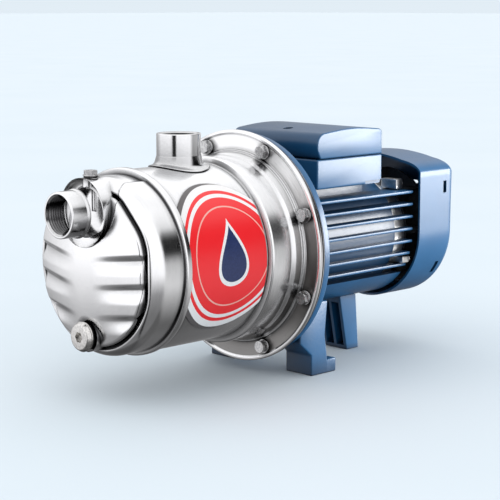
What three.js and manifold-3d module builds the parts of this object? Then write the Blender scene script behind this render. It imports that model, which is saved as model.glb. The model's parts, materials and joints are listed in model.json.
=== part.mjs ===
// Shallow well jet pump: a stainless steel pump end, flanged to a finned electric motor.
// Millimetres, +Z up, +X from the suction port to the fan. The shaft axis is level.
// Inside this file X = 0 is the rear face of the steel flange and Z = 0 is the shaft axis.
// The group at the end puts the middle of the length at X = 0 and the floor at Z = 0.

import * as THREE from 'three';
import { mergeVertices } from 'three/addons/utils/BufferGeometryUtils.js';
import Module from 'manifold-3d';

const wasm = await Module();
wasm.setup();

// Driving dimensions

const GAP = 0.3;                 // clearance between pieces that touch
const AXIS_HEIGHT = 110;         // shaft axis above the floor
const SIDES = 28;                // facets round a large casing
const FEW = 12;                  // facets round a small piece

const FLANGE_R = 100;
const FLANGE_T = 3;
const BOLT_CIRCLE_R = 90;
const BOLT_COUNT = 8;
const BOLT_R = 3;
const BOLT_HEAD_AF = 10;         // across flats
const WASHER_R = 6;

const BARREL_R = 74.5;
const BARREL_WALL = 2;
const SEAM_X = -123;             // where the barrel meets the front casing
const SKIRT_X = -37;             // where the barrel widens into its skirt
const SKIRT_R = 79.4;

const SEAM_R = 76.5;
const SEAM_W = 5.7;
const CASING_R = 73.5;
const CASING_WALL = 2.5;
const CASING_CORNER = 16;
const CORNER_X = -147;           // where the casing's side turns into its rounded front edge
const DOME_X = -170.5;           // middle of its front, which is a shallow dome
const DOME_R = 238;
const BOSS_REAR_X = -150;
const FLUTE_Z = [8, -15, -38];
const FLUTE_R = 9;
const FLUTE_LENGTH = 60;
const FLUTE_START_Y = 10;
const FLUTE_LEAN = 10.5;         // degrees that each flute leans back with the dome

const SUCTION_Z = 44;
const SUCTION_BOSS_R = 27.5;
const SUCTION_BOSS_X = -177;
const SUCTION_BOSS_CORNER = 6;
const SUCTION_MOUTH_X = -194;
const DISCHARGE_X = -68.5;
const DISCHARGE_TOP_Z = 101;
const PORT_R = 18.5;
const PORT_BORE_R = 15.15;       // minor radius of a one inch gas thread

const PRIMING_X = -161.5;
const PRIMING_SEAT_Z = 71.2;
const PRIMING_SHANK_R = 4;
const PRIMING_HEAD_AF = 10;
const DRAIN_Z = -55;
const DRAIN_SEAT_X = -169;
const DRAIN_BOSS_R = 13;
const DRAIN_SHANK_R = 6.5;
const DRAIN_SOCKET_AF = 8;
const DRAIN_SOCKET_DEPTH = 4.6;

const LABEL_R = 58;
const LABEL_T = 0.4;
const LABEL_TILT = 6;            // degrees that the label's middle sits above the side

const GASKET_T = 2;
const PLATE_T = 1.9;
const BRACKET_X = GASKET_T + PLATE_T + 3 * GAP;
const BRACKET_R = 97;
const BRACKET_REAR_X = 37.7;

const FOOT_OUTER_Y = 63;
const FOOT_INNER_Y = 32;
const FOOT_FRONT_X = 26;
const FOOT_REAR_X = 46;
const TOE_REAR_X = 57;
const TOE_H = 12;
const FOOT_SLOT_W = 8;
const ARCH_TOP_Z = -64;

const HOUSING_X = [38, 147];
const HOUSING_R = 52;
const HOUSING_BORE_R = 46.3;
const BAND_R = 60;               // plain band under the housing
const BAND_TOP_Z = -37;
const FIN_END_X = 162;
const FIN_TOP_Z = 38;
const FIN_PITCH = 11.2;
const FIN_COUNT = 7;
const FIN_T = 2.5;
const FIN_TIP_Y = 60;
const PAD_TOP_Z = 53;

const BOX_X = [43, 127];
const BOX_Y = 52.5;
const BOX_Z = [48.5, 74.3];
const BOX_WALL = 2.5;
const LID_TOP_Z = 97;
const LID_CROWN = 2.5;
const GLAND_X = 105;
const GLAND_Z = 65;
const GLAND_BORE_R = 4.5;

const SHIELD_X = [147.3, 161];
const SHIELD_R = 51.5;

const COVER_X = [166, 216];
const COVER_R = 65;
const COVER_SHOULDER_Z = 55;
const COVER_TOP_Z = 70.5;
const COVER_WALL = 2;
const COVER_CORNER = 9;
const GRILLE_R = 46;
const GRILLE_PITCH = 10;
const GRILLE_SLOT_H = 4.4;

const REAR_FOOT_Y = 13.5;
const REAR_FOOT_WALL = 3;

const SHAFT_R = 7;
const BEARING_SEAT_R = 7.4;
const ROTOR_SEAT_R = 10;
const BEARING_R = 17.5;
const STATOR_X = [60, 125];
const STATOR_R = 46;
const AIR_GAP_R = 28;

// Materials

const material = (color, roughness, metalness) =>
  new THREE.MeshStandardMaterial({ color, roughness, metalness });

const stainless = () => material(0xc9cbcd, 0.22, 1.0);
const bluePaint = () => material(0x245a92, 0.38, 0.25);
const zincSteel = () => material(0xb4b6b8, 0.35, 1.0);
const aluminium = () => material(0xd2d3d4, 0.4, 1.0);
const blackRubber = () => material(0x141414, 0.8, 0.0);
const redFilm = () => material(0xd8232b, 0.35, 0.0);
const darkPlastic = () => material(0x1d2024, 0.55, 0.0);
const palePlastic = () => material(0xe2ddcf, 0.6, 0.0);
const castIron = () => material(0x55585b, 0.6, 0.9);
const copper = () => material(0xb4602c, 0.4, 0.9);
const brass = () => material(0xc7a552, 0.3, 1.0);
const ceramic = () => material(0xf0ece2, 0.3, 0.0);

// Solids: three.js shapes, welded into closed meshes that can be joined and cut

function signedVolume(points, corners) {
  const [a, b, c] = [new THREE.Vector3(), new THREE.Vector3(), new THREE.Vector3()];
  let total = 0;
  for (let i = 0; i < corners.length; i += 3) {
    a.fromArray(points, 3 * corners[i]);
    b.fromArray(points, 3 * corners[i + 1]);
    c.fromArray(points, 3 * corners[i + 2]);
    total += a.dot(b.cross(c)) / 6;
  }
  return total;
}

function solid(geometry) {
  for (const name of Object.keys(geometry.attributes)) {
    if (name !== 'position') geometry.deleteAttribute(name);
  }
  const welded = mergeVertices(geometry, 1e-4);
  const points = Float32Array.from(welded.attributes.position.array);
  const corners = [];
  const index = welded.index.array;
  for (let i = 0; i < index.length; i += 3) {
    const [a, b, c] = [index[i], index[i + 1], index[i + 2]];
    if (a !== b && b !== c && c !== a) corners.push(a, b, c);
  }
  if (signedVolume(points, corners) < 0) corners.reverse();
  const mesh = new wasm.Mesh({
    numProp: 3,
    vertProperties: points,
    triVerts: Uint32Array.from(corners),
  });
  return new wasm.Manifold(mesh);
}

const ALONG_X = new THREE.Matrix4().makeRotationZ(-Math.PI / 2);
const ALONG_Y = new THREE.Matrix4();
const ALONG_Z = new THREE.Matrix4().makeRotationX(Math.PI / 2);

// Turns a profile of [position along the axis, radius] points round an axis
function turned(profile, along = ALONG_X, centre = [0, 0, 0], sides = SIDES) {
  const points = profile.map(([position, radius]) => new THREE.Vector2(radius, position));
  const onAxis = profile[0][1] === 0 && profile.at(-1)[1] === 0;
  if (!onAxis) points.push(points[0].clone());
  const geometry = new THREE.LatheGeometry(points, sides);
  geometry.applyMatrix4(along);
  geometry.translate(...centre);
  return solid(geometry);
}

const rod = (from, to, radius) => [[from, 0], [from, radius], [to, radius], [to, 0]];
const ring = (from, to, outer, inner) => [[from, inner], [from, outer], [to, outer], [to, inner]];

function block([x0, x1], [y0, y1], [z0, z1]) {
  const geometry = new THREE.BoxGeometry(x1 - x0, y1 - y0, z1 - z0);
  geometry.translate((x0 + x1) / 2, (y0 + y1) / 2, (z0 + z1) / 2);
  return solid(geometry);
}

// Extrudes an outline drawn in Y and Z along X, or one drawn in X and Z along Y
const SECTION_YZ = new THREE.Matrix4().makeBasis(
  new THREE.Vector3(0, 1, 0), new THREE.Vector3(0, 0, 1), new THREE.Vector3(1, 0, 0));
const SECTION_XZ = new THREE.Matrix4().makeBasis(
  new THREE.Vector3(1, 0, 0), new THREE.Vector3(0, 0, 1), new THREE.Vector3(0, -1, 0));

function extruded(shape, basis, start, options) {
  const geometry = new THREE.ExtrudeGeometry(shape, { bevelEnabled: false, curveSegments: 12, ...options });
  geometry.translate(0, 0, start);
  geometry.applyMatrix4(basis);
  return solid(geometry);
}

// Skins rings of equally many points, and closes both ends on the rings' middle points
function lofted(rings) {
  const count = rings[0].length;
  const middle = (points) => [0, 1, 2].map((k) => points.reduce((sum, p) => sum + p[k], 0) / count);
  const ends = [middle(rings[0]), middle(rings.at(-1))];
  const points = [...rings.flat(), ...ends];
  const corners = [];
  for (let i = 0; i < count; i += 1) {
    const next = (i + 1) % count;
    for (let r = 0; r + 1 < rings.length; r += 1) {
      const [a, b] = [r * count + i, r * count + next];
      corners.push(a, b, b + count, a, b + count, a + count);
    }
    const last = (rings.length - 1) * count;
    corners.push(next, i, points.length - 2, last + i, last + next, points.length - 1);
  }
  const geometry = new THREE.BufferGeometry();
  geometry.setAttribute('position', new THREE.Float32BufferAttribute(points.flat(), 3));
  geometry.setIndex(corners);
  return solid(geometry);
}

const outline = (points) => new THREE.Shape(points.map(([a, b]) => new THREE.Vector2(a, b)));

const alongX = (points, [x0, x1]) => extruded(outline(points), SECTION_YZ, x0, { depth: x1 - x0 });
const alongY = (points, [y0, y1]) => extruded(outline(points), SECTION_XZ, -y1, { depth: y1 - y0 });

const join = (first, ...others) => others.reduce((sum, piece) => sum.add(piece), first);
const cut = (first, ...others) => others.reduce((sum, piece) => sum.subtract(piece), first);

// A hexagon's corner radius from its size across flats
const hexRadius = (acrossFlats) => acrossFlats / Math.sqrt(3);

const polar = (radius, degrees) => {
  const angle = THREE.MathUtils.degToRad(degrees);
  return [radius * Math.cos(angle), radius * Math.sin(angle)];
};

// The object: every piece is one named mesh

const pump = new THREE.Group();

function place(name, piece, look) {
  const { vertProperties, triVerts } = piece.getMesh();
  const geometry = new THREE.BufferGeometry();
  geometry.setAttribute('position', new THREE.BufferAttribute(Float32Array.from(vertProperties), 3));
  geometry.setIndex(new THREE.BufferAttribute(Uint32Array.from(triVerts), 1));
  geometry.computeVertexNormals();
  const mesh = new THREE.Mesh(geometry, look);
  mesh.name = name;
  pump.add(mesh);
}

// Places of the flange bolts round the shaft axis
const boltPlaces = Array.from({ length: BOLT_COUNT }, (_, i) =>
  polar(BOLT_CIRCLE_R, (i + 0.5) * 360 / BOLT_COUNT));

const boltHoles = (from, to) => boltPlaces.map(([y, z]) =>
  turned(rod(from, to, BOLT_R + GAP), ALONG_X, [0, y, z], 8));

// Pump end

const domeX = (radius) => DOME_X + radius * radius / (2 * DOME_R);

// The pressed front: a drum with a rounded edge, a domed front and the suction boss.
// A negative offset gives the hollow inside it.
function casingForm(offset, rear) {
  const profile = [[rear, 0], [rear, CASING_R + offset]];
  for (const turn of [0, 30, 55, 75]) {
    const [outward, forward] = polar(CASING_CORNER + offset, turn);
    profile.push([CORNER_X - forward, CASING_R - CASING_CORNER + outward]);
  }
  profile.push([domeX(32) - offset, 32], [DOME_X - offset, 0]);
  const bossFront = SUCTION_BOSS_X - offset;
  const boss = turned([
    [BOSS_REAR_X, 0],
    [BOSS_REAR_X, SUCTION_BOSS_R + offset],
    [bossFront + SUCTION_BOSS_CORNER, SUCTION_BOSS_R + offset],
    [bossFront + 0.3 * SUCTION_BOSS_CORNER, SUCTION_BOSS_R + offset - 0.3 * SUCTION_BOSS_CORNER],
    [bossFront, SUCTION_BOSS_R + offset - SUCTION_BOSS_CORNER],
    [bossFront, 0],
  ], ALONG_X, [0, 0, SUCTION_Z], 24);
  return join(turned(profile), boss);
}

// Hollows pressed into both sides of the dome, deeper towards its edge
function flutes() {
  return FLUTE_Z.flatMap((z) => [-1, 1].map((side) => {
    const start = domeX(Math.hypot(FLUTE_START_Y, z)) - FLUTE_R + 0.2;
    const span = [0, side * FLUTE_LENGTH].sort((a, b) => a - b);
    return turned(rod(...span, FLUTE_R), ALONG_Y, [0, 0, 0], 8)
      .rotate([0, 0, -side * FLUTE_LEAN])
      .translate([start, side * FLUTE_START_Y, z]);
  }));
}

function makeFrontCasing() {
  const rear = SEAM_X - GAP;
  const seam = turned(ring(SEAM_X - SEAM_W, rear, SEAM_R, CASING_R - 1));
  const drainBoss = turned(rod(BOSS_REAR_X, DRAIN_SEAT_X, DRAIN_BOSS_R),
    ALONG_X, [0, 0, DRAIN_Z], FEW);
  const primingBoss = turned(rod(SUCTION_Z + 18, PRIMING_SEAT_Z, 6.6), ALONG_Z, [PRIMING_X, 0, 0], FEW);
  const spotFace = turned(rod(PRIMING_SEAT_Z, PRIMING_SEAT_Z + 6, 7.5), ALONG_Z, [PRIMING_X, 0, 0], FEW);
  const drainSpot = turned(rod(DRAIN_SEAT_X - 6, DRAIN_SEAT_X, DRAIN_BOSS_R + 0.8),
    ALONG_X, [0, 0, DRAIN_Z], FEW);
  const outside = cut(casingForm(0, rear), ...flutes(), spotFace, drainSpot);
  const inside = cut(casingForm(-CASING_WALL, rear + 5), drainBoss, primingBoss);
  const mouth = turned(rod(SUCTION_MOUTH_X, DOME_X + 10, PORT_BORE_R), ALONG_X, [0, 0, SUCTION_Z], FEW);
  const primingHole = turned(rod(SUCTION_Z, PRIMING_SEAT_Z + 6, PRIMING_SHANK_R + GAP),
    ALONG_Z, [PRIMING_X, 0, 0], FEW);
  const drainHole = turned(rod(BOSS_REAR_X + 4, DRAIN_SEAT_X - 6, DRAIN_SHANK_R + GAP),
    ALONG_X, [0, 0, DRAIN_Z], FEW);
  const body = cut(join(outside, seam, drainBoss), inside, mouth, primingHole, drainHole);
  place('front_casing', body, stainless());
}

function makeBarrel() {
  const inner = BARREL_R - BARREL_WALL;
  const skirtInner = SKIRT_R - BARREL_WALL;
  const shell = turned([
    [SEAM_X, BARREL_R],
    [SKIRT_X - 2, BARREL_R],
    [SKIRT_X, SKIRT_R],
    [-16, SKIRT_R],
    [-12, 80.6],
    [-FLANGE_T - 2, 81.4],
    [-FLANGE_T - 2, 83],
    [-FLANGE_T, 83.6],
    [-FLANGE_T, FLANGE_R],
    [0, FLANGE_R],
    [0, 79.6],
    [-8, 79],
    [-14, skirtInner],
    [SKIRT_X + 2, skirtInner],
    [SKIRT_X, inner],
    [SEAM_X, inner],
  ]);
  const outlet = turned(rod(60, 90, PORT_BORE_R), ALONG_Z, [DISCHARGE_X, 0, 0], FEW);
  place('pump_barrel', cut(shell, outlet, ...boltHoles(-FLANGE_T - 1, 1)), stainless());
}

function makePorts() {
  const seat = SUCTION_BOSS_X - GAP;
  const suction = turned([
    [SUCTION_MOUTH_X, PORT_BORE_R],
    [SUCTION_MOUTH_X, PORT_R],
    [seat - 3, PORT_R],
    [seat, PORT_R + 3],
    [seat, PORT_BORE_R],
  ], ALONG_X, [0, 0, SUCTION_Z], 24);
  place('suction_port', suction, stainless());

  const flared = turned([
    [66, PORT_BORE_R],
    [66, PORT_R + 7],
    [73, PORT_R + 6],
    [77, PORT_R + 2],
    [81, PORT_R],
    [DISCHARGE_TOP_Z, PORT_R],
    [DISCHARGE_TOP_Z, PORT_BORE_R],
  ], ALONG_Z, [DISCHARGE_X, 0, 0], 24);
  const barrel = turned(rod(SEAM_X, SKIRT_X, BARREL_R + GAP));
  place('discharge_port', cut(flared, barrel), stainless());
}

// A screw plug and its sealing washer, both along the given axis. The plug has a hexagon
// head, or a round head with a hexagon socket if a socket size is given.
// Outwards is the direction in which the plug leaves, as +1 or -1 along the axis.
function makePlug(name, along, centre, seat, outwards, sizes) {
  const { shankR, headAF, socketAF, flangeR, flangeT, headH, shankLength, washerT } = sizes;
  const step = (distance) => seat + outwards * distance;
  const span = (from, to) => [Math.min(step(from), step(to)), Math.max(step(from), step(to))];
  const washer = turned(ring(...span(GAP, GAP + washerT), flangeR - 0.7, shankR + GAP), along, centre, FEW);
  const under = 2 * GAP + washerT;
  const shank = turned(rod(...span(-shankLength, under + 0.5), shankR), along, centre, FEW);
  const flange = turned(rod(...span(under, under + flangeT), flangeR), along, centre, FEW);
  const top = under + flangeT + headH;
  const head = headAF
    ? turned(rod(...span(under + 0.2, top), hexRadius(headAF)), along, centre, 6)
    : turned(rod(...span(under + 0.2, top), flangeR - 2), along, centre, 16);
  const plug = join(shank, flange, head);
  const socket = socketAF
    ? [turned(rod(...span(top - DRAIN_SOCKET_DEPTH, top + 1), hexRadius(socketAF)), along, centre, 6)]
    : [];
  place(name, cut(plug, ...socket), zincSteel());
  place(`${name}_washer`, washer, blackRubber());
}

function makePlugs() {
  makePlug('priming_plug', ALONG_Z, [PRIMING_X, 0, 0], PRIMING_SEAT_Z, 1, {
    shankR: PRIMING_SHANK_R, headAF: PRIMING_HEAD_AF, flangeR: 6.4, flangeT: 0.8,
    headH: 3.6, shankLength: 9, washerT: 0.8,
  });
  makePlug('drain_plug', ALONG_X, [0, 0, DRAIN_Z], DRAIN_SEAT_X, -1, {
    shankR: DRAIN_SHANK_R, socketAF: DRAIN_SOCKET_AF, flangeR: 12.4, flangeT: 2.4,
    headH: 3, shankLength: 10, washerT: 1.2,
  });
}

// A round film wrapped on the barrel's side, cut flat where the barrel ends
function makeLabel() {
  const inner = BARREL_R + GAP;
  const film = turned(ring(SEAM_X + 0.5, SKIRT_X - 3.5, inner + LABEL_T, inner));
  const cutter = new THREE.CylinderGeometry(LABEL_R, LABEL_R, BARREL_R + 10, 32);
  cutter.translate(0, -(BARREL_R + 10) / 2, 0);
  cutter.rotateX(-THREE.MathUtils.degToRad(LABEL_TILT));
  cutter.translate((SEAM_X + SKIRT_X) / 2, 0, 0);
  place('side_label', film.intersect(solid(cutter)), redFilm());
}

// Ejector: the nozzle blows into the venturi tube, which feeds the impeller's eye
function makeEjector() {
  const body = turned(ring(-147, -104, 27, 23));
  const window = turned(rod(10, 40, 14), ALONG_Z, [-134, 0, 0], FEW);
  place('jet_body', cut(body, window), darkPlastic());

  const nozzle = turned([
    [-146, 18], [-146, 22.6], [-141, 22.6], [-141, 12], [-120, 7.5], [-118, 7.5],
    [-118, 5.5], [-140, 9],
  ], ALONG_X, [0, 0, 0], FEW);
  place('jet_nozzle', nozzle, brass());

  const venturi = turned([
    [-113, 11], [-113, 22.6], [-106, 22.6], [-102, 13], [-46, 20], [-46, 15.5],
    [-96, 8], [-106, 8],
  ], ALONG_X, [0, 0, 0], FEW);
  place('venturi_tube', venturi, darkPlastic());
}

function makeDiffuser() {
  const shell = turned([
    [-45.4, 16], [-45.4, 60], [-41, 68], [-14, 68], [-14, 60.5], [-38, 60.5], [-41.5, 58], [-41.5, 16],
  ], ALONG_X, [0, 0, 0], 20);
  const outlets = [0, 60, 120].map((turn) => {
    const geometry = new THREE.BoxGeometry(12, 160, 9);
    geometry.rotateX(THREE.MathUtils.degToRad(turn));
    geometry.translate(-24, 0, 0);
    return solid(geometry);
  });
  place('diffuser', cut(shell, ...outlets), darkPlastic());
}

function makeImpeller() {
  const back = turned(ring(-20, -17, 57, SHAFT_R + GAP), ALONG_X, [0, 0, 0], 20);
  const front = turned(ring(-35, -32.5, 57, 17), ALONG_X, [0, 0, 0], 20);
  const hub = turned(ring(-35.5, -16, 13, SHAFT_R + GAP), ALONG_X, [0, 0, 0], FEW);
  const blades = Array.from({ length: 6 }, (_, i) => {
    const geometry = new THREE.BoxGeometry(13.5, 37.5, 2.5);
    geometry.rotateX(-0.5);
    geometry.translate(-26.2, 36, 0);
    geometry.rotateX(i * Math.PI / 3);
    return solid(geometry);
  });
  place('impeller', join(back, front, hub, ...blades), brass());

  const nut = cut(
    turned(rod(-43.5, -36, hexRadius(17)), ALONG_X, [0, 0, 0], 6),
    turned(rod(-50, -30, 5.5 + GAP), ALONG_X, [0, 0, 0], FEW));
  place('impeller_nut', nut, zincSteel());
}

function makeMechanicalSeal() {
  place('seal_rotating_ring', turned([
    [-15.5, SHAFT_R + GAP], [-15.5, 11], [-6, 11], [-6, 12.5], [-1.6, 12.5], [-1.6, SHAFT_R + GAP],
  ], ALONG_X, [0, 0, 0], FEW), darkPlastic());
  place('seal_fixed_seat', turned(ring(-1.3, 6, 12.7, 8.5), ALONG_X, [0, 0, 0], FEW), ceramic());
}

// Joint between pump and motor

function makeFlangeJoint() {
  const gasket = turned(ring(GAP, GAP + GASKET_T, FLANGE_R - 1.2, 83));
  place('flange_gasket', cut(gasket, ...boltHoles(-1, 5)), blackRubber());

  const front = GASKET_T + 2 * GAP;
  const plate = turned([
    [front, 18], [front, FLANGE_R - 2.5], [front + PLATE_T, FLANGE_R - 2.5],
    [front + PLATE_T, 20], [7, 18], [7, 13], [-1, 13], [-1, 18],
  ]);
  place('seal_plate', cut(plate, ...boltHoles(-1, 9)), stainless());

  boltPlaces.forEach(([y, z], i) => {
    const head = turned(rod(-FLANGE_T - 6.5, -FLANGE_T - 1.5, hexRadius(BOLT_HEAD_AF)), ALONG_X, [0, y, z], 6);
    const washer = turned(rod(-FLANGE_T - 1.7, -FLANGE_T - GAP, WASHER_R), ALONG_X, [0, y, z], 10);
    const shank = turned(rod(-FLANGE_T - 1, BRACKET_X + 6.5, BOLT_R), ALONG_X, [0, y, z], 8);
    place(`flange_bolt_${i + 1}`, join(head, washer, shank), zincSteel());
  });
}

// Motor

// One front foot: a tapered leg under the bracket with a slotted toe
function footForm(side) {
  const outer = side * FOOT_OUTER_Y;
  const inner = side * FOOT_INNER_Y;
  const span = [Math.min(outer, inner), Math.max(outer, inner)];
  const leg = alongY([
    [BRACKET_X + 7.1, ARCH_TOP_Z + 18],
    [FOOT_REAR_X, ARCH_TOP_Z + 18],
    [FOOT_REAR_X - 3, -76],
    [FOOT_REAR_X + 2, -AXIS_HEIGHT],
    [FOOT_FRONT_X, -AXIS_HEIGHT],
    [FOOT_FRONT_X, -92],
    [BRACKET_X + 7.1, -80],
  ], span);
  const toe = block([FOOT_FRONT_X, TOE_REAR_X], span, [-AXIS_HEIGHT, -AXIS_HEIGHT + TOE_H]);
  const slotY = (outer + inner) / 2;
  const slot = block([TOE_REAR_X - 9, TOE_REAR_X + 1],
    [slotY - FOOT_SLOT_W / 2, slotY + FOOT_SLOT_W / 2], [-AXIS_HEIGHT - 1, -AXIS_HEIGHT + TOE_H + 1]);
  return cut(join(leg, toe), slot);
}

function makeBracket() {
  const casting = turned([
    [BRACKET_X, BRACKET_R], [BRACKET_X + 7.2, BRACKET_R], [BRACKET_X + 7.2, 70],
    [22, 63], [BRACKET_REAR_X, 62], [BRACKET_REAR_X, 50], [26, 50], [26, 24], [32, 24],
    [32, BEARING_R + GAP], [20.3, BEARING_R + GAP], [20.3, 12], [12, 12], [12, 22],
    [18, 24], [18, 56], [BRACKET_X, 60],
  ]);
  const ribs = [30, 90, 150].map((turn) => {
    const geometry = new THREE.BoxGeometry(16, 4, 2 * 84);
    geometry.rotateX(THREE.MathUtils.degToRad(turn));
    geometry.translate(BRACKET_X + 12, 0, 0);
    return solid(geometry);
  });
  const inside = turned(rod(0, 60, 58));
  const housingRoom = turned(rod(BRACKET_REAR_X, 60, BAND_R + 1));
  const feet = cut(join(footForm(-1), footForm(1)), inside, housingRoom);
  const body = join(casting, feet, ...ribs.map((rib) => cut(rib, inside)));
  place('motor_bracket', cut(body, ...boltHoles(0, BRACKET_X + 7)), bluePaint());
}

function makeHousing() {
  const root = turned(rod(...HOUSING_X, HOUSING_R));
  const [front] = HOUSING_X;
  const fins = Array.from({ length: FIN_COUNT }, (_, i) => {
    const z = FIN_TOP_Z - i * FIN_PITCH;
    const tip = z > 0 ? FIN_TIP_Y : Math.sqrt(FIN_TIP_Y ** 2 - z ** 2);
    return block([front, FIN_END_X], [-tip, tip], [z - FIN_T / 2, z + FIN_T / 2]);
  });
  const bandAbove = block([0, 200], [-80, 80], [BAND_TOP_Z, 80]);
  const band = cut(turned(rod(front, FIN_END_X, BAND_R)), bandAbove);
  const pad = block([BOX_X[0] + 4, BOX_X[1] - 4], [-34, 34], [35, PAD_TOP_Z]);
  const bore = turned(rod(0, 200, HOUSING_BORE_R));
  const shieldRoom = turned(rod(HOUSING_X[1], 200, SHIELD_R + GAP));
  place('motor_housing', cut(join(root, band, pad, ...fins), bore, shieldRoom), bluePaint());
}

function makeRearShield() {
  const disc = turned([
    [140.5, BEARING_R + GAP], [140.5, 21.5], [SHIELD_X[0], 21.5], [SHIELD_X[0], SHIELD_R],
    [SHIELD_X[1], SHIELD_R], [SHIELD_X[1], 46], [155, 42], [155, 12], [152.8, 12],
    [152.8, BEARING_R + GAP],
  ]);
  const ears = [-1, 1].flatMap((side) => [
    block([152, SHIELD_X[1]], side < 0 ? [-48, -30] : [30, 48], [40, 49]),
    block([152, SHIELD_X[1]], side < 0 ? [-57, -40] : [40, 57], [-26.8, -20.9]),
  ]);
  const bore = turned(rod(130, 152.8, BEARING_R + GAP));
  const centre = turned(rod(150, 170, 42));
  const screwPlaces = [[-43.5, 44.5], [43.5, 44.5], [-53.5, -23.8], [53.5, -23.8]];
  const holes = screwPlaces.map(([y, z]) => turned(rod(153, 170, 1.8 + GAP), ALONG_X, [0, y, z], 8));
  const clearEars = ears.map((ear) => cut(ear, centre, bore));
  place('rear_end_shield', cut(join(disc, ...clearEars), ...holes), aluminium());
  screwPlaces.forEach(([y, z], i) => {
    const shank = turned(rod(154, SHIELD_X[1] + 1, 1.8), ALONG_X, [0, y, z], 8);
    const head = turned([
      [SHIELD_X[1] + GAP, 0], [SHIELD_X[1] + GAP, 3.2], [SHIELD_X[1] + 2.2, 3.2], [SHIELD_X[1] + 3, 1.8],
      [SHIELD_X[1] + 3, 0],
    ], ALONG_X, [0, y, z], 8);
    place(`end_shield_screw_${i + 1}`, join(shank, head), zincSteel());
  });
}

// Section of the fan cover: round below, upright sides and a low crowned roof
function coverSection(offset) {
  const radius = COVER_R + offset;
  const shape = new THREE.Shape();
  shape.absarc(0, 0, radius, -Math.PI, 0, false);
  shape.lineTo(radius, COVER_SHOULDER_Z);
  shape.quadraticCurveTo(radius - 3, COVER_SHOULDER_Z + 8 + offset, radius - 22, COVER_TOP_Z - 5 + offset);
  shape.quadraticCurveTo(radius / 3, COVER_TOP_Z + offset, 0, COVER_TOP_Z + offset);
  shape.quadraticCurveTo(-radius / 3, COVER_TOP_Z + offset, 22 - radius, COVER_TOP_Z - 5 + offset);
  shape.quadraticCurveTo(3 - radius, COVER_SHOULDER_Z + 8 + offset, -radius, COVER_SHOULDER_Z);
  return shape;
}

// The rear edge is rounded: the section shrinks towards the axis over the last few millimetres
function coverForm(offset) {
  const section = coverSection(offset).getPoints(5);
  const rear = COVER_X[1] + offset;
  const stations = [[COVER_X[0] - 20, 0]];
  for (let turn = 0; turn <= 90; turn += 45) {
    const [along, across] = polar(COVER_CORNER, turn);
    stations.push([rear - COVER_CORNER + across, COVER_CORNER - along]);
  }
  return lofted(stations.map(([x, inset]) => section.map((point) => {
    const kept = 1 - inset / point.length();
    return [x, kept * point.x, kept * point.y];
  })));
}

function makeFanCover() {
  const open = block([COVER_X[0] - 60, COVER_X[0]], [-90, 90], [-90, 90]);
  const slots = [];
  for (let z = -4 * GRILLE_PITCH; z <= 4 * GRILLE_PITCH; z += GRILLE_PITCH) {
    const half = Math.sqrt(GRILLE_R ** 2 - z ** 2);
    slots.push(block([COVER_X[1] - 5, COVER_X[1] + 1], [-half, half],
      [z - GRILLE_SLOT_H / 2, z + GRILLE_SLOT_H / 2]));
  }
  const latches = [40, -36].map((z) => block([199, 203.5], [-80, 80], [z - 5.5, z + 5.5]));
  const shell = cut(coverForm(0), coverForm(-COVER_WALL), open, ...slots, ...latches);
  place('fan_cover', shell, bluePaint());
}

function makeFan() {
  const hub = turned(ring(168, 186, 13, 6 + GAP), ALONG_X, [0, 0, 0], FEW);
  const disc = turned(ring(168, 170.5, 46, 10), ALONG_X, [0, 0, 0], 20);
  const blades = Array.from({ length: 8 }, (_, i) => {
    const geometry = new THREE.BoxGeometry(28, 42, 2.5);
    geometry.translate(183, 33, 0);
    geometry.rotateX(i * Math.PI / 4);
    return solid(geometry);
  });
  const shroud = turned(ring(194.5, 197, 54, 25), ALONG_X, [0, 0, 0], 20);
  place('cooling_fan', join(hub, disc, shroud, ...blades), darkPlastic());
}

function makeRotor() {
  place('shaft', turned([
    [-47, 0], [-47, 5.5], [-35.5, 5.5], [-35.5, SHAFT_R], [19, SHAFT_R], [19, BEARING_SEAT_R],
    [33, BEARING_SEAT_R], [33, ROTOR_SEAT_R], [139, ROTOR_SEAT_R], [139, BEARING_SEAT_R],
    [154, BEARING_SEAT_R], [154, 6], [188, 6], [188, 0],
  ], ALONG_X, [0, 0, 0], FEW), zincSteel());
  place('rotor_core', turned(ring(...STATOR_X, AIR_GAP_R - 0.4, ROTOR_SEAT_R + GAP),
    ALONG_X, [0, 0, 0], 20), castIron());
}

function makeStator() {
  place('stator_core', turned(ring(...STATOR_X, STATOR_R, AIR_GAP_R)), castIron());
  place('winding_front', turned([
    [46, 33], [46, 40], [50, 43], [STATOR_X[0] - GAP, 43], [STATOR_X[0] - GAP, 30], [50, 30],
  ], ALONG_X, [0, 0, 0], 20), copper());
  place('winding_rear', turned([
    [STATOR_X[1] + GAP, 30], [STATOR_X[1] + GAP, 43], [135, 43], [139, 40], [139, 33], [135, 30],
  ], ALONG_X, [0, 0, 0], 20), copper());
}

function makeBearings() {
  const bearing = (from, to) => turned(ring(from, to, BEARING_R, BEARING_SEAT_R + GAP),
    ALONG_X, [0, 0, 0], FEW);
  place('front_bearing', bearing(20.8, 31.8), zincSteel());
  place('rear_bearing', bearing(141, 152), zincSteel());
}

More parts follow.
